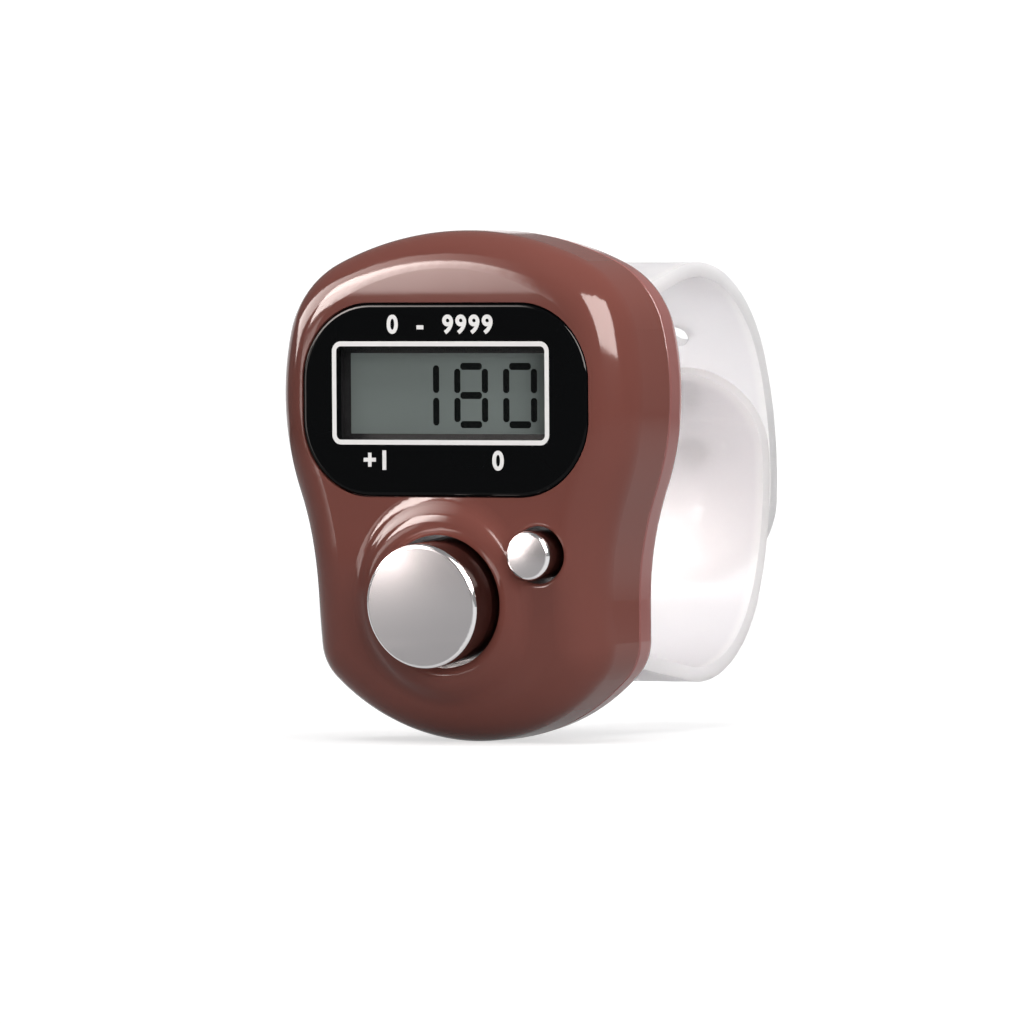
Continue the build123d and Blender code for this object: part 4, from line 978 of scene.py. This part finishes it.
def stage_white(name, paint, glow, far_glow, mirror_glow, rim_share):
    """White paint that also glows to the lens, through glass and, less towards a rim, to mirrors."""
    material = bpy.data.materials.new(name)
    material.use_nodes = True
    tree = material.node_tree
    shader = tree.nodes["Principled BSDF"]
    shader.inputs["Roughness"].default_value = 0.9
    shader.inputs["Specular IOR Level"].default_value = 0.0
    shader.inputs["Emission Color"].default_value = (1, 1, 1, 1)
    place = add(tree, "ShaderNodeTexCoord")
    away = add(tree, "ShaderNodeVectorMath", operation="LENGTH")
    share = add(tree, "ShaderNodeMapRange", interpolation_type="SMOOTHSTEP")
    share.inputs["From Min"].default_value = FADE_FROM
    share.inputs["From Max"].default_value = FLOOR_RADIUS
    share.inputs["To Min"].default_value = 1.0
    share.inputs["To Max"].default_value = rim_share
    coat = add(tree, "ShaderNodeMath", operation="MULTIPLY")
    coat.inputs[1].default_value = paint
    mirrored = add(tree, "ShaderNodeMath", operation="MULTIPLY")
    mirrored.inputs[1].default_value = mirror_glow
    shown = add(tree, "ShaderNodeMapRange")
    shown.inputs["From Max"].default_value = FLOOR_RADIUS
    shown.inputs["To Min"].default_value = glow
    shown.inputs["To Max"].default_value = far_glow
    paths = add(tree, "ShaderNodeLightPath")
    seen = add(tree, "ShaderNodeMath", operation="ADD", use_clamp=True)
    direct = add(tree, "ShaderNodeMath", operation="MULTIPLY")
    strength = add(tree, "ShaderNodeMath", operation="MULTIPLY_ADD")
    wire(tree, (place, "Object", away, 0),
               (away, "Value", share, "Value"),
               (away, "Value", shown, "Value"),
               (share, "Result", coat, 0),
               (coat, "Value", shader, "Base Color"),
               (share, "Result", mirrored, 0),
               (paths, "Is Camera Ray", seen, 0),
               (paths, "Is Transmission Ray", seen, 1),
               (seen, "Value", direct, 0),
               (shown, "Result", direct, 1),
               (paths, "Is Glossy Ray", strength, 0),
               (mirrored, "Value", strength, 1),
               (direct, "Value", strength, 2),
               (strength, "Value", shader, "Emission Strength"))
    return material


def stage_piece(name, rows, material):
    """A stage surface through rows of points."""
    mesh = bpy.data.meshes.new(name)
    count = len(rows[0])
    faces = [(r * count + i, r * count + i + 1, (r + 1) * count + i + 1, (r + 1) * count + i)
             for r in range(len(rows) - 1) for i in range(count - 1)]
    mesh.from_pydata([p for row in rows for p in row], [], faces)
    mesh.materials.append(material)
    stand = bpy.data.objects.new(name, mesh)
    bpy.context.scene.collection.objects.link(stand)


circle = [radians(360 * i / FLOOR_STEPS) for i in range(FLOOR_STEPS + 1)]
floor_rows = [[(r * cos(a), r * sin(a), FLOOR_Z) for a in circle] for r in (FLOOR_MIDDLE, FLOOR_RADIUS)]
stage_piece("floor", floor_rows, stage_white("floor_white", paint=0.38, glow=0.62, far_glow=1.0,
                                             mirror_glow=0.3, rim_share=0.15))
sweep = [radians(SHEET_FROM + (SHEET_TO - SHEET_FROM) * i / SHEET_STEPS) for i in range(SHEET_STEPS + 1)]
sheet_rows = [[(SHEET_RADIUS * cos(a), SHEET_RADIUS * sin(a), FLOOR_Z + z) for a in sweep]
              for z in (-SHEET_HEIGHT, SHEET_HEIGHT)]
stage_piece("backdrop", sheet_rows, stage_white("sheet_white", paint=0.2, glow=1.0, far_glow=1.0,
                                                mirror_glow=1.0, rim_share=1.0))

# Lights: three softboxes, above, to the right and behind, light the counter evenly and show in no mirror.
# Four warm cards show only in gloss and chrome, for the brow over the display, the buttons, the count
# button's collar and the right shoulder, and a dim even surround fills in the rest.
LIGHT_AIM = Vector((0.0, -6.0, 0.0)) * MM
COLLAR_AIM = Vector((-2.0, -12.7, -2.2)) * MM
BOX_WHITE = (1.0, 1.0, 1.0)
CARD_WARM = (1.0, 0.90, 0.86)
SURROUND = 0.25


def toward(azimuth, elevation):
    """A direction, with azimuth from the front towards the right."""
    a, e = radians(azimuth), radians(elevation)
    return Vector((sin(a) * cos(e), -cos(a) * cos(e), sin(e)))


def softbox(name, azimuth, elevation, distance, width, height, radiance, mirrored=True, scattered=True,
            aim=LIGHT_AIM, roll=0.0):
    """A rectangular light that faces the counter, with the radiance that a mirror shows."""
    lamp = bpy.data.lights.new(name, "AREA")
    lamp.shape = "RECTANGLE"
    lamp.size = width
    lamp.size_y = height
    lamp.energy = radiance * pi * width * height
    stand = bpy.data.objects.new(name, lamp)
    bpy.context.scene.collection.objects.link(stand)
    direction = toward(azimuth, elevation)
    stand.location = aim + direction * distance
    upright = direction.to_track_quat("Z", "Y")
    stand.rotation_euler = (upright @ Quaternion((0, 0, 1), radians(roll))).to_euler()
    lamp.color = BOX_WHITE if scattered else CARD_WARM
    stand.visible_camera = False
    stand.visible_glossy = mirrored
    stand.visible_diffuse = scattered
    stand.visible_transmission = scattered
    return lamp


def graded(lamp, bright_share):
    """Keeps a share of a card's width bright, and dims the rest evenly to nothing at its right edge."""
    lamp.use_nodes = True
    tree = lamp.node_tree
    surface = add(tree, "ShaderNodeNewGeometry")
    parts = add(tree, "ShaderNodeSeparateXYZ")
    ramp = add(tree, "ShaderNodeMapRange", interpolation_type="SMOOTHSTEP")
    ramp.inputs["From Min"].default_value = bright_share
    ramp.inputs["To Min"].default_value = 1.0
    ramp.inputs["To Max"].default_value = 0.0
    wire(tree, (surface, "Parametric", parts, "Vector"),
               (parts, "X", ramp, "Value"),
               (ramp, "Result", tree.nodes["Emission"], "Strength"))


softbox("key_softbox", azimuth=10, elevation=78, distance=1.0, width=1.0, height=0.8, radiance=3.5,
        mirrored=False)
softbox("side_softbox", azimuth=52, elevation=10, distance=0.8, width=0.5, height=0.5, radiance=4.7,
        mirrored=False)
softbox("back_softbox", azimuth=165, elevation=30, distance=0.8, width=0.6, height=0.5, radiance=3.4,
        mirrored=False)
brow_card = softbox("brow_card", azimuth=-38, elevation=20.8, distance=0.7, width=0.35, height=0.31,
                    radiance=46.0, scattered=False)
graded(brow_card, bright_share=0.48)
softbox("button_card", azimuth=-45, elevation=-2, distance=0.5, width=0.22, height=0.11, radiance=8.4,
        scattered=False)
collar_card = softbox("collar_card", azimuth=-60, elevation=42, distance=0.065, width=0.090, height=0.024,
                      radiance=17.0, scattered=False, aim=COLLAR_AIM, roll=40)
graded(collar_card, bright_share=0.3)
softbox("shoulder_card", azimuth=51, elevation=32, distance=0.7, width=0.56, height=0.53, radiance=32.0,
        scattered=False)

world = bpy.data.worlds.new("surround")
bpy.context.scene.world = world
world.use_nodes = True
world.node_tree.nodes["Background"].inputs["Color"].default_value = (1, 1, 1, 1)
world.node_tree.nodes["Background"].inputs["Strength"].default_value = SURROUND

# Camera: a long lens on a stand, a little above the display's level and to its right. The counter has the
# same place and size in the frame as in the photograph.
CAMERA_AZIMUTH = 29.0
CAMERA_ELEVATION = 1.4
CAMERA_DISTANCE = 1.0
CAMERA_ROLL = -0.35
CAMERA_NEAR = 10 * MM
FRAME_WIDTH = 82.0 * MM
AIM_RIGHT = 2.36 * MM
AIM_DOWN = 2.09 * MM
to_camera = toward(CAMERA_AZIMUTH, CAMERA_ELEVATION)
facing = to_camera.to_track_quat("Z", "Y")
aim = LIGHT_AIM + facing @ Vector((AIM_RIGHT, -AIM_DOWN, 0.0))
lens = bpy.data.cameras.new("photo_camera")
lens.angle = 2 * atan(FRAME_WIDTH / 2 / CAMERA_DISTANCE)
lens.clip_start = CAMERA_NEAR
camera = bpy.data.objects.new("photo_camera", lens)
bpy.context.scene.collection.objects.link(camera)
camera.location = aim + to_camera * CAMERA_DISTANCE
camera.rotation_euler = (facing @ Quaternion((0, 0, 1), radians(CAMERA_ROLL))).to_euler()
bpy.context.scene.camera = camera
bpy.context.scene.view_settings.view_transform = "Standard"
